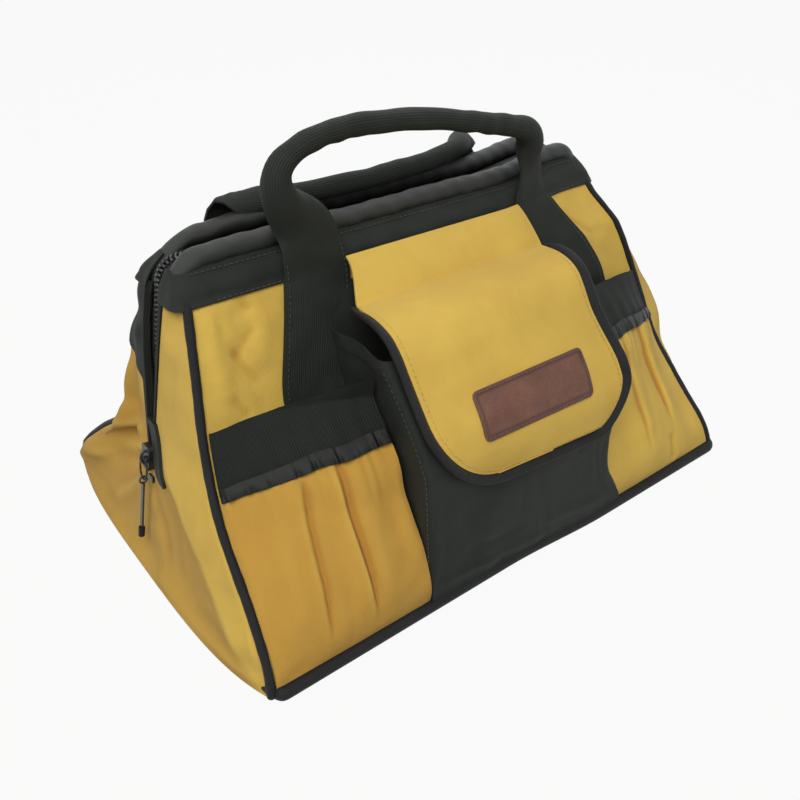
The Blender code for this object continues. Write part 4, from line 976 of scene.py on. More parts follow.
def build_facing(word, wall):
    """The black strip under the sleeve: outlines at rising heights, drawn in towards the sleeve."""
    foot, height = 0.1902, 0.0183
    rows = []
    for s in np.linspace(0, 1, 15):
        z = foot + height * s
        reach = float(wall_reach(min(z, WALL_HEIGHT))) + 0.0016 + 0.0006 * math.sin(math.pi * s)
        reach += (ROD_OFFSET + 0.0044 - reach) * s ** 2.2
        end_length = float(zip_line(z)) + 0.0012 - 0.0050 * s ** 2
        half = grid_of(*mouth_outline(reach, end_length, 0.0085 - 0.002 * s), z)
        row = np.concatenate([(half * (-1, 1, 1))[::-1], half[1:]])
        run = run_along(row)
        rows.append(at_runs(np.linspace(0, 1, 240), run / run[-1], row))
    grid, toward = np.array(rows), (0, wall, 0)
    x, z = grid[..., 0], grid[..., 2]
    relief = 0.0005 * ripples(x, z * 2, 51, 0.030) + 0.0007 * ripples(x, z, 52, 0.075)
    relief = relief * near_edges(relief.shape, 0.02, 0.02, 0.2, 0.2)
    grid = grid * (1, wall, 1)
    cloth = shell(f"{word}_mouth_facing", raised(grid, toward, relief), toward, 0.0013, black)
    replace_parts(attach(cloth, f"{word}_wall"), f"{word}_facing")
    out = outward(grid, toward)
    for row, skip, label in ((1, 26, "lower"), (12, 12, "upper")):
        along = slice(skip, -skip)
        path = grid[row, along] + out[row, along] * 0.0005
        line = stitches(f"{word}_facing_{label}_stitches", path, out[row, along], black_thread)
        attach(line, f"{word}_wall")


def over_the_mouth(foot, top, radius, inset, levels, turns):
    """A line in the bag's middle plane, x and height: up one end, round over the mouth, down the other."""
    corner_foot = top - radius
    leg_x = float(zip_line(corner_foot)) - inset
    z = np.linspace(foot, corner_foot, levels)[:-1]
    arc = np.linspace(0, math.pi / 2, turns)
    x = np.concatenate([leg_x + ZIP_LEAN * (z - corner_foot), leg_x - radius + radius * np.cos(arc)])
    z = np.concatenate([z, corner_foot + radius * np.sin(arc)])
    half = np.stack([x, z], axis=-1)
    return np.concatenate([half * (-1, 1), half[::-1]])


def rod_path(foot, wall, step):
    """The rod's middle line over one wall, with its ends down to a height."""
    line = resampled(over_the_mouth(foot, ROD_HEIGHT, radius=0.018, inset=0.0086, levels=12, turns=14), step)
    return grid_of(line[:, 0], wall * ROD_OFFSET, line[:, 1])


def build_sleeve(word, wall):
    """The tube of cloth round the rod, gathered a little along its length."""
    phase = np.random.default_rng(60 + wall).uniform(0, 6.28, 6)

    def gathers(ring, angle):
        ring, angle = ring[:, None], angle[None, :]
        slow = np.sin(ring * 0.11 + phase[0]) * np.cos(angle + phase[1])
        twist = np.sin(ring * 0.42 + 1.5 * angle + phase[2])
        return 0.00035 * slow + 0.00022 * twist + 0.0002 * np.sin(ring * 0.9 - angle * 2 + phase[3])
    path = rod_path(ROD_HEIGHT - 0.0215, wall, 0.0022)
    sleeve = tube(f"{word}_mouth_sleeve", path, SLEEVE, (0, 1, 0), satin, sides=28, wobble=gathers)
    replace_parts(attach(sleeve, f"{word}_wall"), f"{word}_sleeve")
    rod = tube(f"{word}_mouth_rod", rod_path(0.108, wall, 0.003), ROD_RADIUS, (0, 1, 0), steel, sides=14)
    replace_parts(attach(rod, f"{word}_wall"), f"{word}_frame_rod")


for word, wall in both_walls:
    build_facing(word, wall)
    build_sleeve(word, wall)
print("mouth done")

# %% [markdown]
# The zip runs over the mouth and half way down each end. Its two rows of teeth are moulded onto two
# tapes. Each tooth is a small rounded block, and the rows are set half a tooth apart, so they mesh.


# %% Zip
def build_zip_row(word, wall):
    """One tape with its row of teeth."""
    foot, top = ZIP_FOOT + 0.0012, ROD_HEIGHT - 0.003
    line = resampled(over_the_mouth(foot, top, radius=0.015, inset=0.0032, levels=60, turns=16), 0.0015)
    along = unit(np.gradient(line, axis=0))
    out = np.stack([-along[:, 1], along[:, 0]], axis=-1)
    edge = np.where(np.abs(line[:, 0]) > 0.150, 0.0150, 0.0098)
    edge = np.convolve(np.pad(edge, 6, mode="edge"), np.ones(13) / 13, mode="valid")
    share = in_row(0, 1, 13)
    y = 0.0009 + (edge[:, None] - 0.0009) * share
    lift = -0.0021 + 0.0003 * np.sin(share * math.pi)
    grid = grid_of(line[:, :1] + out[:, :1] * lift, wall * y, line[:, 1:] + out[:, 1:] * lift)
    tape = shell(f"{word}_zip_tape", grid, (out[0, 0], 0, out[0, 1]), 0.0007, webbing)
    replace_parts(tape, f"{word}_zip_row")
    bend_end(tape)
    pitch = 0.0030
    run = run_along(line)
    count = int(run[-1] / pitch) - 1
    at = (np.arange(count) + (0.5 if wall == FRONT else 1.0)) * pitch
    spot, way = at_runs(at, run, line), at_runs(at, run, along)
    up = np.stack([-way[:, 1], way[:, 0]], axis=-1)
    turn = np.linspace(0, 2 * math.pi, 8, endpoint=False)
    round_x, round_y = [np.sign(wave) * np.abs(wave) ** 0.6 for wave in (np.cos(turn), np.sin(turn))]
    middle, half_long, half_wide = 0.0022, 0.00095, 0.0017
    rings = []
    for size, level in ((0.9, -0.0024), (1.0, -0.0018), (1.0, -0.0006), (0.72, 0.0)):
        move = half_long * size * round_x[None, :]
        across = wall * (middle + half_wide * size * round_y[None, :])
        place = [spot[:, [k]] + way[:, [k]] * move + up[:, [k]] * level for k in (0, 1)]
        rings.append(grid_of(place[0], across, place[1]))
    ring = np.stack(rings, axis=1)
    index = np.arange(count * 32).reshape(count, 4, 8)
    beside = np.roll(index, -1, axis=2)
    walls = np.stack([index[:, :-1], beside[:, :-1], beside[:, 1:], index[:, 1:]], axis=-1).reshape(-1, 4)
    faces = walls.tolist() + index[:, 0, ::-1].tolist() + index[:, -1].tolist()
    if wall == REAR:
        faces = [face[::-1] for face in faces]
    teeth = new_piece(f"{word}_zip_teeth", ring.reshape(-1, 3), faces, None, black_metal, smooth=35.0)
    bend_end(teeth)
    print(word, "teeth:", count)


for word, wall in both_walls:
    build_zip_row(word, wall)

# %% [markdown]
# Strap and handle are one length of webbing. Flat against the wall, it leaves the facing and its edges
# roll in until they meet, which makes the round grip. So its width never changes: only the curl of its
# section does, from none to a full turn.


# %% Straps and handles
def curled_section(width, angle, count):
    """A section of webbing, curled to a total angle: places across it and behind its face.

    A curl of angle a over the width w is an arc of radius w / a, held so that its mean depth is nought.
    In the closed grip the webbing laps over itself, so there the width that shows is a sixth less."""
    q = in_row(-0.5, 0.5, count)
    angle = np.maximum(np.asarray(angle, float), 1e-3)[:, None]
    width = width * (1 - 0.17 * soft_step(0.7, 1.0, angle / (2 * math.pi)))
    across = width * np.sin(q * angle) / angle
    depth = width * (1 - np.cos(q * angle)) / angle
    return across, depth - depth.mean(axis=1, keepdims=True)


def ribbon(path, faces, curl, pressed):
    """A grid over webbing along a path with its face toward a direction: curled by an angle at each station,
    and pressed flat to a share of the curl's depth where it lies on the wall."""
    along = unit(np.gradient(path, axis=0))
    faces = unit(faces - along * (faces * along).sum(axis=1, keepdims=True))
    side = np.cross(faces, along)
    across, depth = curled_section(STRAP_WIDTH, curl, 33)
    depth = depth * pressed[:, None]
    return path[:, None] + across[..., None] * side[:, None] - depth[..., None] * faces[:, None]


def strap_rise(foot, lift):
    """Reach and height up the wall's face and over the facing, where a strap lies."""
    z = np.linspace(foot, 0.1885, 60)
    reach, height = wall_point(z, lift)
    over = float(wall_reach(0.1915)) + 0.0040
    return (np.concatenate([reach, [over, over - 0.0002, over - 0.0005]]),
            np.concatenate([height, [0.1935, 0.2050, 0.2130]]))


def smooth_path(points, step):
    """Even points along a path, with the corners rounded by repeated averages that keep the ends."""
    path = resampled(points, step)
    for _ in range(10):
        path[1:-1] = (path[:-2] + 2 * path[1:-1] + path[2:]) / 4
    return resampled(path, step)


def build_webbing(word, stations, foot, lift):
    """The path of one wall's straps and handle, and its curl and the share of its length at each point.

    A station is a place along the bag in halves of the straps' spacing, a reach and a rise in
    handle units from the top of the strap, and the share of a full curl."""
    reach, height = strap_rise(foot, lift)
    half, top_z = STRAP_SPACING / 2, 0.2168
    low, top = np.clip((0.190 - height) / 0.060, 0, 1), soft_step(0.180, 0.214, height)
    legs = []
    for end, (place, lean) in zip((0, -1), strap_lines[word]):
        below = place * half + lean * low
        legs.append(grid_of(below + (stations[end][0] * half - below) * top, reach, height))
    x, out, rise, curls = np.array(stations).T
    grip = grid_of(x * half, reach[-1] + out * HANDLE_UNIT, top_z + rise * HANDLE_UNIT)
    points = np.concatenate([legs[0], grip, legs[1][::-1]])
    folded = soft_step(0.172, 0.208, height)
    curls = np.concatenate([curls[0] * folded, curls, (curls[-1] * folded)[::-1]])
    run = run_along(points)
    path = smooth_path(points, 0.0030)
    at = run_along(path)
    at = at * run[-1] / at[-1]
    curl = np.interp(at, run, curls) * 2 * math.pi * 0.97
    curl = np.convolve(np.pad(curl, 4, mode="edge"), np.ones(9) / 9, mode="valid")
    return path, curl, at / at[-1]


strap_lines = {"front": ((-0.895, -0.0200), (1.02, 0.0265)), "rear": ((-1.0, 0.0), (1.0, 0.0))}
front_stations = (
    (-0.945, 0, 0, 0.36), (-1.01, -0.01, 0.17, 0.45), (-1.1, -0.03, 0.37, 0.66),
    (-1.16, -0.05, 0.585, 0.86), (-1.1, -0.06, 0.83, 0.97), (-0.91, -0.07, 0.98, 1), (-0.6, -0.08, 1.04, 1),
    (-0.22, -0.08, 1, 1), (0.06, -0.07, 0.93, 1), (0.36, -0.06, 0.815, 1), (0.66, -0.05, 0.695, 0.98),
    (0.88, -0.04, 0.6, 0.92), (1, -0.03, 0.45, 0.74), (1.03, -0.015, 0.24, 0.62), (1.02, 0, 0, 0.55),
)
rear_stations = (
    (-1.1, 0, 0, 0.05), (-1.12, 0, 0.04, 0.2), (-1.1, -0.08, 0.07, 0.5), (-1.03, -0.2, 0.09, 0.75),
    (-0.92, -0.36, 0.12, 0.92), (-0.76, -0.49, 0.13, 1), (-0.55, -0.57, 0.15, 1), (-0.3, -0.6, 0.16, 1),
    (0, -0.61, 0.17, 1), (0.25, -0.6, 0.19, 1), (0.45, -0.56, 0.21, 1), (0.6, -0.49, 0.23, 1),
    (0.72, -0.36, 0.24, 0.95), (0.8, -0.2, 0.22, 0.85), (0.86, -0.06, 0.17, 0.7), (0.88, 0.01, 0.09, 0.5),
    (0.88, 0, 0, 0.35),
)


def build_handle(word, wall, stations, foot, free):
    """One wall's webbing, with its face out on the wall and up where the rear handle lies over the mouth.

    It lies pressed flat up to a height, and is free to curl from the height free."""
    path, curl, share = build_webbing(word, stations, foot, 0.0024)
    turn = np.zeros(len(path))
    if wall == REAR:
        turn = soft_step(0.2150, 0.2225, path[:, 2]) * soft_step(0.0345, 0.020, path[:, 1]) * math.pi / 2
    path = path * (1, wall, 1)
    pressed = 0.12 + 0.88 * soft_step(0.214, free, path[:, 2])
    grid = ribbon(path, grid_of(0.0, wall * np.cos(turn), np.sin(turn)), curl, pressed)
    toward = (0, wall, 0)
    place_across = in_row(0, 0.05, grid.shape[1])
    relief = 0.0005 * ripples(share[:, None] * 0.8 + 0 * place_across, place_across, 71 + wall, 0.035)
    relief = relief * near_edges(relief.shape, 0.2, 0.2, 0.02, 0.02)
    strap = shell(f"{word}_strap_and_handle", raised(grid, toward, relief), toward, WEBBING, webbing)
    nodes = f"{word}_left_strap", f"{word}_right_strap", f"{word}_handle"
    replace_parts(strap, *nodes)
    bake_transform(strap)
    normal = outward(grid, toward)
    for label, side in both_ends:
        rows = np.flatnonzero((path[:, 2] < 0.205) & (path[:, 0] * side > 0))
        for column, letter in ((2, "a"), (30, "b")):
            out = normal[rows, column]
            line = stitches(f"{word}_{label}_strap_stitches_{letter}", grid[rows, column] + out * 0.0001, out,
                            black_thread)
            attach(line, f"{word}_wall")


build_handle("front", FRONT, front_stations, 0.034, 0.236)
build_handle("rear", REAR, rear_stations, 0.009, 0.222)
print("straps and handles done")

# %% [markdown]
# The side pockets are yellow cloth gathered under a band of webbing. The cloth is cut wider than the
# wall, so it stands off it, in pleats that start where the band gathers it and fade towards the base.


# %% Side pockets
def side_pocket(side, z, across, thickness):
    """The pocket's face: the wall's profile, swelling outwards from the corner seam to the centre pocket.

    Its mouth gapes most beside the centre pocket, which holds it open."""
    share = (z - WALL_FOOT) / (BAND_TOP - WALL_FOOT)
    swell = POCKET_BULGE * hermite(share, (0, 0.18, 0.37, 0.57, 0.73, 0.87, 1),
                                   (0.02, 0.35, 0.72, 1.06, 1.12, 0.80, 0.40))
    growth = np.sin(across * math.pi / 2) ** 0.8
    gape = 0.020 * np.clip((share - 0.55) / 0.45, 0, 1.2) ** 1.3 * across ** 2.2
    reach, height = wall_point(z, 0.0003 + thickness)
    outer = corner_half(z) - PIPING - 0.0003
    inner = POCKET_WIDTH / 2 + 0.0006
    return grid_of(side * (outer + (inner - outer) * across), -(reach + swell * growth + gape), height)


def band_foot(across):
    """Height of the band's lower edge, which rises from the corner seam to the centre pocket."""
    return hermite(across, (0, 0.1, 0.2, 0.43, 0.54, 0.7, 0.85, 1),
                   (0.0905, 0.0948, 0.0975, 0.1025, 0.1048, 0.1055, 0.1080, 0.1095))


def band_top(across):
    """Height of the band's upper edge, which sags at the corner seam."""
    return hermite(across, (0, 0.19, 0.42, 0.63, 0.79, 1), (0.1250, 0.1290, 0.1318, 0.1352, 0.1382, 0.1430))


def build_side_pocket(word, side):
    """Pocket cloth with pleats, its webbing band, and the ruffled tape along the band's lower edge."""
    forward = (0, FRONT, 0)
    across = in_row(0, 1, 92)
    level = in_column(0, 1, 84)
    z = 0.0075 + (band_foot(across) + 0.004 - 0.0075) * level
    grid = side_pocket(side, z, across, 0.0015)
    x = np.abs(grid[..., 0])
    gather = np.sin(2 * math.pi * x / 0.0085 + 1.5 * np.sin(x * 240)) * soft_step(0.6, 0.95, level)
    slack = 0.0009 * ripples(x, z * 0.6, 81 + side, 0.045) + 0.0003 * ripples(x, z, 83 + side, 0.020)
    folds = sum(pleat(x, z, *line) for line in pocket_pleats[word])
    folds = folds + sum(fold(x, z, *line) for line in pocket_folds[word])
    edges = near_edges(x.shape, 0.03, 0.03, 0.05, 0.0)
    relief = (slack + 0.0004 * gather + folds) * edges - 0.0012 * soft_step(0.92, 1.0, level)
    # painted shade: the pleats' and folds' hollows, a soft shade beside each pleat, and a darker, browner
    # cast over the whole left pocket
    painted_shade = hollows(folds * edges, 2) + painted_shade_value(0.52 if side == LEFT else 0.02)
    painted_shade = painted_shade + 0.0016 * sum(lap_shade(x, z, *line[:2], line[3] / 0.0044) for line in pocket_pleats[word])
    cloth = shell(f"{word}_pocket_cloth", raised(grid, forward, relief), forward, THIN_CLOTH, yellow, painted_shade)
    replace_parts(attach(cloth, "front_wall"), f"{word}_pocket")
    level = in_column(0, 1, 30)
    z = band_foot(across) + 0.0015 + (band_top(across) - band_foot(across) - 0.0015) * level
    grid = side_pocket(side, z, across, 0.0022)
    x = np.abs(grid[..., 0])
    gather = 0.0005 * np.sin(2 * math.pi * x / 0.013 + 2) * (1 - level)
    relief = (0.0007 * ripples(x, z, 85 + side, 0.030) + gather) * near_edges(x.shape, 0.04, 0.04, 0.0, 0.0)
    band = shell(f"{word}_band_webbing", raised(grid, forward, relief), forward, 0.0015, elastic)
    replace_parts(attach(band, "front_wall"), f"{word}_pocket_band")
    across = in_row(0, 1, 260)
    level = in_column(0, 1, 12)
    z = band_foot(across) - 0.0016 + 0.0072 * level
    grid = side_pocket(side, z, across, 0.0030)
    x = np.abs(grid[..., 0])
    ruffle = np.sin(2 * math.pi * (x + 0.0016 * np.sin(x * 520)) / 0.0080)
    ruffle = ruffle * (1 - 0.65 * soft_step(0.1, 0.75, level))
    uneven = 0.45 + 0.55 * np.sin(x * 210 + 1.0) * np.sin(x * 74)
    relief = 0.0012 + 0.0016 * ruffle * uneven + 0.0008 * np.sin(math.pi * level)
    relief = relief * near_edges(relief.shape, 0.02, 0.02, 0.0, 0.0)
    tape = shell(f"{word}_band_tape", raised(grid, forward, relief), forward, 0.0010, shiny_black)
    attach(tape, "front_wall")


pocket_pleats = {
    "left": (((0.1225, 0.104), (0.1265, 0.024), 0.015, 0.0044),
             ((0.1430, 0.098), (0.1580, 0.022), 0.014, 0.0022)),
    "right": (((0.1500, 0.100), (0.1610, 0.036), 0.013, 0.0040),
              ((0.1240, 0.104), (0.1260, 0.030), 0.012, 0.0022)),
}
pocket_folds = {
    "left": (((0.112, 0.100), (0.115, 0.030), 0.007, 0.0016),
             ((0.133, 0.092), (0.141, 0.030), 0.007, -0.0012),
             ((0.160, 0.085), (0.170, 0.030), 0.006, 0.0010),
             ((0.098, 0.095), (0.100, 0.040), 0.006, -0.0012)),
    "right": (((0.153, 0.030), (0.151, 0.012), 0.004, -0.0020),
              ((0.108, 0.095), (0.110, 0.030), 0.006, -0.0012)),
}
for word, side in both_ends:
    build_side_pocket(word, side)
print("side pockets done")

# %% [markdown]
# The centre pocket is a box of black cloth: two side gussets and a front, with a ridge of seam where
# they meet. Its outline is worked out level by level, from the wall out, round the corner and across.


# %% Centre pocket
def pocket_outline(z):
    """Half of the pocket's level outline, from the wall to the middle of the front, and each point's part.

    The part is 0 on the side, rises to 1 round the corner, and is 2 on the front."""
    half = POCKET_WIDTH / 2
    back = float(wall_reach(z)) + 0.0026
    front = float(pocket_front(z))
    radius = min(0.0075, 0.45 * (front - back))
    s = np.linspace(0, 1, 26)
    side_x = half - 0.0030 * np.sin(math.pi * s) ** 2 * min(1.0, (front - back) / 0.04)
    side_y = back + (front - radius - back) * s
    arc = np.linspace(0, math.pi / 2, 9)[1:]
    x = np.linspace(half - radius, 0, 56)[1:]
    bow = 0.0030 * (1 - (x / (half - radius)) ** 2)
    bow = bow * float(np.sin(math.pi * z / POCKET_RIM) * soft_step(0.108, 0.085, z))
    return (np.concatenate([side_x, half - radius + radius * np.cos(arc), x]),
            np.concatenate([side_y, front - radius + radius * np.sin(arc), front + bow]),
            np.concatenate([0 * s, np.linspace(0, 1, 9)[1:], 2 + 0 * x]))


def build_centre_pocket():
    """The pocket's cloth, with its corner seams, a hem at the rim and folds near its foot."""
    forward = (0, FRONT, 0)
    rows = []
    for z in np.linspace(0.0072, POCKET_RIM, 90):
        x, y, part = pocket_outline(z)
        half = grid_of(x, -y, z)
        rows.append(np.concatenate([half * (-1, 1, 1), half[-2::-1]]))
    grid = np.array(rows)
    x, z = grid[..., 0], grid[..., 2]
    part = np.concatenate([part, part[-2::-1]])[None, :]
    relief = 0.0007 * ripples(x, z, 91, 0.050) + 0.0003 * ripples(x, z, 92, 0.018)
    relief = relief + 0.0010 * np.exp(-((part - 0.5) / 0.28) ** 2)
    relief = relief + (part > 1.5) * sum(fold(x, z, *line) for line in foot_creases)
    relief = relief + 0.0006 * soft_step(POCKET_RIM - 0.010, POCKET_RIM - 0.009, z)
    strip = soft_step(0.055, 0.045, np.abs(x)) * soft_step(0.098, 0.109, z) * soft_step(0.148, 0.136, z)
    relief = relief * near_edges(relief.shape, 0.03, 0.03, 0.03, 0.0) * (1 - strip)
    face = raised(grid, forward, relief)
    cloth = shell("centre_pocket_cloth", face, forward, THIN_CLOTH, black)
    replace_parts(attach(cloth, "front_wall"), "centre_pocket")
    normal = outward(face, forward)
    for column, label in ((27, "left"), (grid.shape[1] - 28, "right")):
        out = normal[3:-3, column]
        path = face[3:-3, column] + out * 0.0002
        line = stitches(f"centre_pocket_{label}_stitches", path, out, black_thread)
        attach(line, "front_wall")


foot_creases = (
    ((-0.080, 0.020), (0.020, 0.014), 0.004, 0.0014),
    ((-0.060, 0.036), (-0.010, 0.030), 0.004, -0.0010),
    ((0.010, 0.026), (0.075, 0.018), 0.005, 0.0014),
)
build_centre_pocket()
print("centre pocket done")

# %% [markdown]
# The flap and the neck above it are one cloth, creased where they meet. It is
# made as a run down the middle, with a left and a right edge at each place: straight between the
# straps, a little uneven at the shoulders, and round at the lower corners.


# %% Flap
def neck_curve(shares):
    """Reach and height of the neck, from the facing out to the crease."""
    reach, height = 0.0350, 0.1965
    return reach + (CREASE_REACH - reach) * shares, height + (CREASE_HEIGHT - height) * shares ** 1.3


neck_shares, neck_runs = run_table(neck_curve)
NECK_LENGTH = float(neck_runs[-1])
FLAP_END = NECK_LENGTH + FLAP_LENGTH


def flap_place(run, out=0.0):
    """Reach and height at a run from the facing, over the neck and down the flap, moved out from the face."""
    def at(where):
        neck = neck_curve(np.interp(where, neck_runs, neck_shares))
        flap = flap_curve(np.interp(where - NECK_LENGTH, flap_runs, flap_shares))
        upper = where < NECK_LENGTH
        return np.where(upper, neck[0], flap[0]), np.where(upper, neck[1], flap[1])
    step = 0.004
    low, high = at(np.maximum(run - step, 0)), at(np.minimum(run + step, FLAP_END))
    along = unit(np.stack([high[0] - low[0], high[1] - low[1]], axis=-1))
    reach, height = at(run)
    return reach - out * along[..., 1], height + out * along[..., 0]


def corner_cut(down, corner):
    """How far a round lower corner of the flap draws its side in, at a run down the flap."""
    into = np.clip(down - (FLAP_LENGTH - corner), 0, corner)
    return corner - np.sqrt(np.maximum(corner ** 2 - into ** 2, 0))


def edge_left(run):
    """Place of the left edge at a run: the neck widens to the flap, and the lower corner is well rounded."""
    down = run - NECK_LENGTH
    widening = (FLAP_WIDTH / 2 - NECK_HALF) * soft_step(-NECK_LENGTH, 0.012, down)
    return -(NECK_HALF + widening - corner_cut(down, LEFT_CORNER))


def edge_right(run):
    """Place of the right edge at a run: nearly straight, drawn in a little at the shoulder, round below."""
    down = run - NECK_LENGTH
    shoulder = 0.006 * np.exp(-((down - 0.062) / 0.030) ** 2)
    return FLAP_WIDTH / 2 + 0.0015 * (down < 0) - shoulder - corner_cut(down, FLAP_CORNER)


def on_flap(x, run, out):
    """Points over the flap's face at places across it and runs down it.

    The run is shortened towards the left, where the cloth has been drawn up. Past the end it goes
    straight down."""
    drawn = 1 - 0.024 * (1 - np.minimum(x, 0.045) / 0.045)
    run = NECK_LENGTH + (run - NECK_LENGTH) * np.where(run > NECK_LENGTH, drawn, 1)
    reach, height = flap_place(np.minimum(run, FLAP_END), out)
    return grid_of(x, -reach, height - np.maximum(run - FLAP_END, 0))


def build_flap():
    """The yellow cloth of neck and flap, and the area that it is cut to."""
    turn = np.linspace(0, math.pi / 2, 22)
    corner_start = FLAP_END - FLAP_CORNER
    runs = np.linspace(0.0002, corner_start, 84)[:-1]
    runs = np.concatenate([runs, corner_start + FLAP_CORNER * np.sin(turn)])
    runs = np.minimum(runs, FLAP_END - 0.0012)
    runs[-1] = FLAP_END - 0.0008
    low, high = edge_left(runs)[:, None], edge_right(runs)[:, None]
    share = in_row(-1, 1, 97)
    x = low + (high - low) * (share + 1) / 2
    run = runs[:, None] + 0 * x
    down = run - NECK_LENGTH
    relief = 0.0007 * ripples(x, run, 101, 0.080) + 0.00012 * ripples(x, run, 102, 0.026)
    relief = relief - 0.0008 * np.exp(-(down / 0.0030) ** 2)
    relief = relief + 0.0012 * np.exp(-((down - 0.040) / 0.030) ** 2) * (1 - share ** 2)
    relief = relief * near_edges(relief.shape, 0.04, 0.04, 0.02, 0.05)
    toward = (0, -1, 1)
    cloth = shell("flap_and_neck", raised(on_flap(x, run, 0.0), toward, relief), toward, CLOTH, yellow)
    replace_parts(cloth, "flap", "front_yoke")
    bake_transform(cloth)
    widths = (high - low)[:, 0]
    return cloth, float(np.sum((widths[1:] + widths[:-1]) / 2 * np.diff(runs)))


def edge_path(inset, start):
    """Places across and runs along the flap's free edge, at a distance inside it: down, across and up."""
    turn = np.linspace(0, math.pi / 2, 18)[1:]
    parts = []
    for edge, sign, corner in ((edge_left, -1, LEFT_CORNER), (edge_right, 1, FLAP_CORNER)):
        straight = np.linspace(start, FLAP_END - corner, 60)
        centre = FLAP_WIDTH / 2 - corner
        across = [centre + (corner - inset) * np.cos(turn), np.linspace(centre, 0, 12)[1:]]
        x = np.concatenate([edge(straight) - sign * inset, sign * np.concatenate(across)])
        run = np.concatenate([straight, FLAP_END - corner + (corner - inset) * np.sin(turn),
                              np.full(11, FLAP_END - inset)])
        parts.append((x, run))
    (left_x, left_run), (right_x, right_run) = parts
    return np.concatenate([left_x, right_x[-2::-1]]), np.concatenate([left_run, right_run[-2::-1]])


def build_flap_binding():
    """The black tape folded over the flap's free edge: an oval cord that holds the cloth's edge."""
    x, run = edge_path(-0.0028, NECK_LENGTH + 0.0010)
    path = resampled(on_flap(x, run, -0.0009), 0.0022)
    spot = np.arange(len(path))
    radius = 0.0048 * (0.45 + 0.55 * soft_step(0, 7, np.minimum(spot, spot[::-1])))
    binding = tube("flap_edge_binding", path, radius, path - (0, -0.06, 0.12), piping, sides=18, squeeze=0.48,
                   wobble=bumpy(0.00018, 111))
    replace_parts(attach(binding, "flap"), "flap_binding")
    path = on_flap(*edge_path(0.0030, NECK_LENGTH + 0.0060), 0.0006)
    line = stitches("flap_edge_stitches", path, (0, -1, 0.4), yellow_thread, thread=0.0003)
    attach(line, "flap")
    return [binding, line]


flap_cloth, flap_area = build_flap()
flap_trim = build_flap_binding()
print("flap done, neck", round(NECK_LENGTH, 4))

# %% [markdown]
# The leather patch is left bare. It is a plate with softened edges, a pressed and darker border, and
# a line of stitches round it that holds it to the flap.


# %% Patch
def rounded_rectangle(width, height, corner):
    """A closed line round a rectangle with round corners, against the clock, from its right side."""
    turn = np.linspace(0, math.pi / 2, 10)
    parts = []
    for quarter, (sx, sy) in enumerate(((1, 1), (-1, 1), (-1, -1), (1, -1))):
        angle = turn + quarter * math.pi / 2
        parts.append(np.stack([sx * (width / 2 - corner) + corner * np.cos(angle),
                               sy * (height / 2 - corner) + corner * np.sin(angle)], axis=-1))
    return np.concatenate(parts + [parts[0][:1]])


def on_patch(x, v, out):
    """Points over the patch, which lies a little tilted on the flap, at places across it and up it."""
    tilt = 0.042
    return on_flap(x + 0.002 + tilt * v, NECK_LENGTH + 0.645 * FLAP_LENGTH + 0.0098 - v - tilt * x, out)


def build_patch():
    """The bare leather patch, as a grid over the flap's face with a rounded rim and a pressed line.

    A grid's corner is made round by drawing its points in along the line to the corner's centre."""
    width, height, corner, border = 0.0930, 0.0325, 0.0042, 0.0030
    x = in_row(-1, 1, 121) * width / 2 + np.zeros((57, 1))
    v = in_column(-1, 1, 57) * height / 2 + 0 * x
    inside = np.minimum(width / 2 - np.abs(x), height / 2 - np.abs(v))
    past_x = np.clip(np.abs(x) - (width / 2 - corner), 0, None)
    past_v = np.clip(np.abs(v) - (height / 2 - corner), 0, None)
    reach = np.hypot(past_x, past_v)
    scale = np.where(reach > 1e-9, np.maximum(past_x, past_v) / np.maximum(reach, 1e-9), 1.0)
    x = np.sign(x) * (np.minimum(np.abs(x), width / 2 - corner) + past_x * scale)
    v = np.sign(v) * (np.minimum(np.abs(v), height / 2 - corner) + past_v * scale)
    press = 0.00035 * np.exp(-((inside - border) / 0.0006) ** 2)
    dome = 0.0006 * soft_step(0, 0.0016, inside) - 0.0006
    rim = soft_step(0.0050, border, inside) * 0.75 + 0.25 * np.exp(-((inside - border) / 0.0007) ** 2)
    face = on_patch(x, v, 0.0019 + dome - press)
    patch = shell("bare_leather_patch", face, (0, -1, 0), 0.0014, leather, rim)
    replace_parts(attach(patch, "flap"), "leather_patch")
    line = rounded_rectangle(width - 0.0036, height - 0.0036, corner - 0.0014)
    thread = stitches("patch_stitches", on_patch(line[:, 0], line[:, 1], 0.0021), (0, -1, 0.4), brown_thread,
                      length=0.0022, gap=0.0010, thread=0.00034)
    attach(thread, "flap")
    return [patch, thread]


flap_trim += build_patch()
print("patch done")

# %% [markdown]
# The smaller pieces that the model already shapes well keep their form and only get a finish: the
# bottom cloth and board, the strips of hook and loop, the slider and its pull, the zip's end stops.


# %% Finishes of the model's own pieces
def strip_finish():
    """Hook and loop tape: a dense field of small dark knobs."""
    strip = Finish("hook_and_loop", 0.85, sheen=0.4)
    knobs = strip.node("TexVoronoi", {"feature": "F1"}, {"Vector": strip.place(), "Scale": 900.0})
    strip.set(Base_Color=strip.shade(knobs, 0.1, 0.7, (0.035, 0.035, 0.036), (0.010, 0.010, 0.010)),
              Normal=strip.bump(1 - knobs, 0.0005, 0.8))
    return strip.material


def bottom_finish():
    """The bottom's black nylon: a plain weave on object coordinates, as the solid has no cloth metres."""
    cloth = Finish("bottom_cloth", 0.7, sheen=0.2)
    u, v = cloth.two(cloth.place())
    weave = (waves(u, 0.0009) * waves(v, 0.0009)).math("ABSOLUTE")
    worn = cloth.noise(30.0, 4.0) * 0.8 + weave * 0.3
    cloth.set(Base_Color=cloth.shade(worn, 0.3, 0.9, (0.012, 0.012, 0.012), (0.030, 0.030, 0.030)),
              Normal=cloth.bump(weave, 0.0002, 0.7))
    return cloth.material


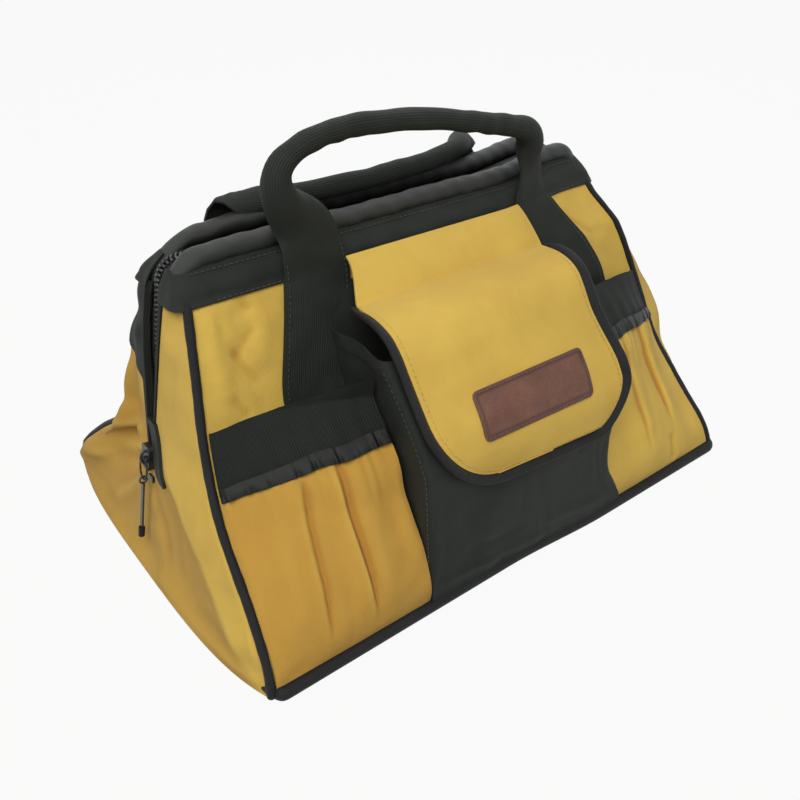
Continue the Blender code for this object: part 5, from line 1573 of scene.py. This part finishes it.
hook_and_loop, bottom = strip_finish(), bottom_finish()
kept_nodes = (
    (bottom, ("base_cloth",)),
    (board, ("base_board",)),
    (hook_and_loop, ("pocket_hook_strip", "flap_loop_strip")),
    (black_metal, ("zip_slider", "pull_ring", "left_zip_stop", "right_zip_stop")),
    (pull_steel, ("pull_tab",)),
    (piping, ("pull_tip",)),
)
for finish, nodes in kept_nodes:
    for node in nodes:
        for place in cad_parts[node].material_slots:
            place.material = finish
print("kept pieces dressed")

# %% [markdown]
# The portrait: the camera stands where the photographer stood, a little to the left and above. The
# light is a large soft panel overhead, a weaker one behind, and a pale room all round.


# %% Floor, light and camera
def seen_directly(tree):
    """1 for what the camera, a shiny surface or glass shows directly, and 0 for other light."""
    ray = tree.nodes.new("ShaderNodeLightPath")
    camera, shine, glass = [Value(tree, ray.outputs[name])
                            for name in ("Is Camera Ray", "Is Glossy Ray", "Is Transmission Ray")]
    return (camera + shine + glass).math("MINIMUM", 1.0)


def build_floor():
    """A wide pale disc. The camera sees it nearly white, and it keeps a soft shadow."""
    points, radius, drop = 96, 9.0, 0.0004
    turn = np.linspace(0, 2 * math.pi, points, endpoint=False)
    rim = grid_of(np.cos(turn) * radius, np.sin(turn) * radius, -drop)
    mesh = bpy.data.meshes.new("floor")
    mesh.from_pydata(rim.tolist(), [], [list(range(points))])
    floor = bpy.data.objects.new("floor", mesh)
    bpy.context.scene.collection.objects.link(floor)
    pale = Finish("floor", 0.9)
    pale.set(Base_Color=(0.32, 0.32, 0.316, 1))
    glow = pale.node("Emission", {}, {"Color": (0.99, 1.0, 0.99, 1)})
    surface = pale.node("MixShader", {}, {0: seen_directly(pale.tree) * 0.94, 2: glow})
    pale.tree.links.new(pale.shader.outputs[0], surface.socket.node.inputs[1])
    feed(pale.tree, pale.tree.nodes["Material Output"].inputs["Surface"], surface)
    mesh.materials.append(pale.material)


def build_room(light):
    """A pale room: white to the camera, and softer as a source of light."""
    world = bpy.data.worlds.new("room")
    world.use_nodes = True
    bpy.context.scene.world = world
    tree = world.node_tree
    shade = tree.nodes["Background"]
    shade.inputs["Color"].default_value = (0.97, 0.985, 1.0, 1)
    feed(tree, shade.inputs["Strength"], seen_directly(tree) * (1.0 - light) + light)


def panel_light(name, place, target, size, power, colour):
    """A square panel lamp at a place, turned towards a target."""
    lamp = bpy.data.lights.new(name, "AREA")
    lamp.size, lamp.energy, lamp.color = size, power, colour
    holder = bpy.data.objects.new(name, lamp)
    bpy.context.scene.collection.objects.link(holder)
    holder.location = place
    holder.rotation_euler = (Vector(target) - Vector(place)).to_track_quat("-Z", "Y").to_euler()


build_floor()
build_room(0.23)
panel_light("overhead", (-0.80, -0.85, 1.42), (0, -0.03, 0.12), 1.2, 28.0, (1.0, 0.985, 0.95))
panel_light("back_fill", (0.90, 0.90, 1.50), (0, 0, 0.1), 1.2, 9.0, (1.0, 1.0, 1.0))

view = bpy.data.cameras.new("portrait")
view.sensor_width, view.lens = 36.0, 37.32
view.clip_start, view.clip_end = 0.02, 50.0
camera = bpy.data.objects.new("portrait", view)
camera.location = (-0.3261, -0.4236, 0.3942)
camera.rotation_euler = (math.radians(90 - 32.84), 0.0, math.radians(-37.79))
bpy.context.scene.collection.objects.link(camera)
bpy.context.scene.camera = camera
bpy.context.scene.view_settings.view_transform = "Standard"
print("camera and lights placed")
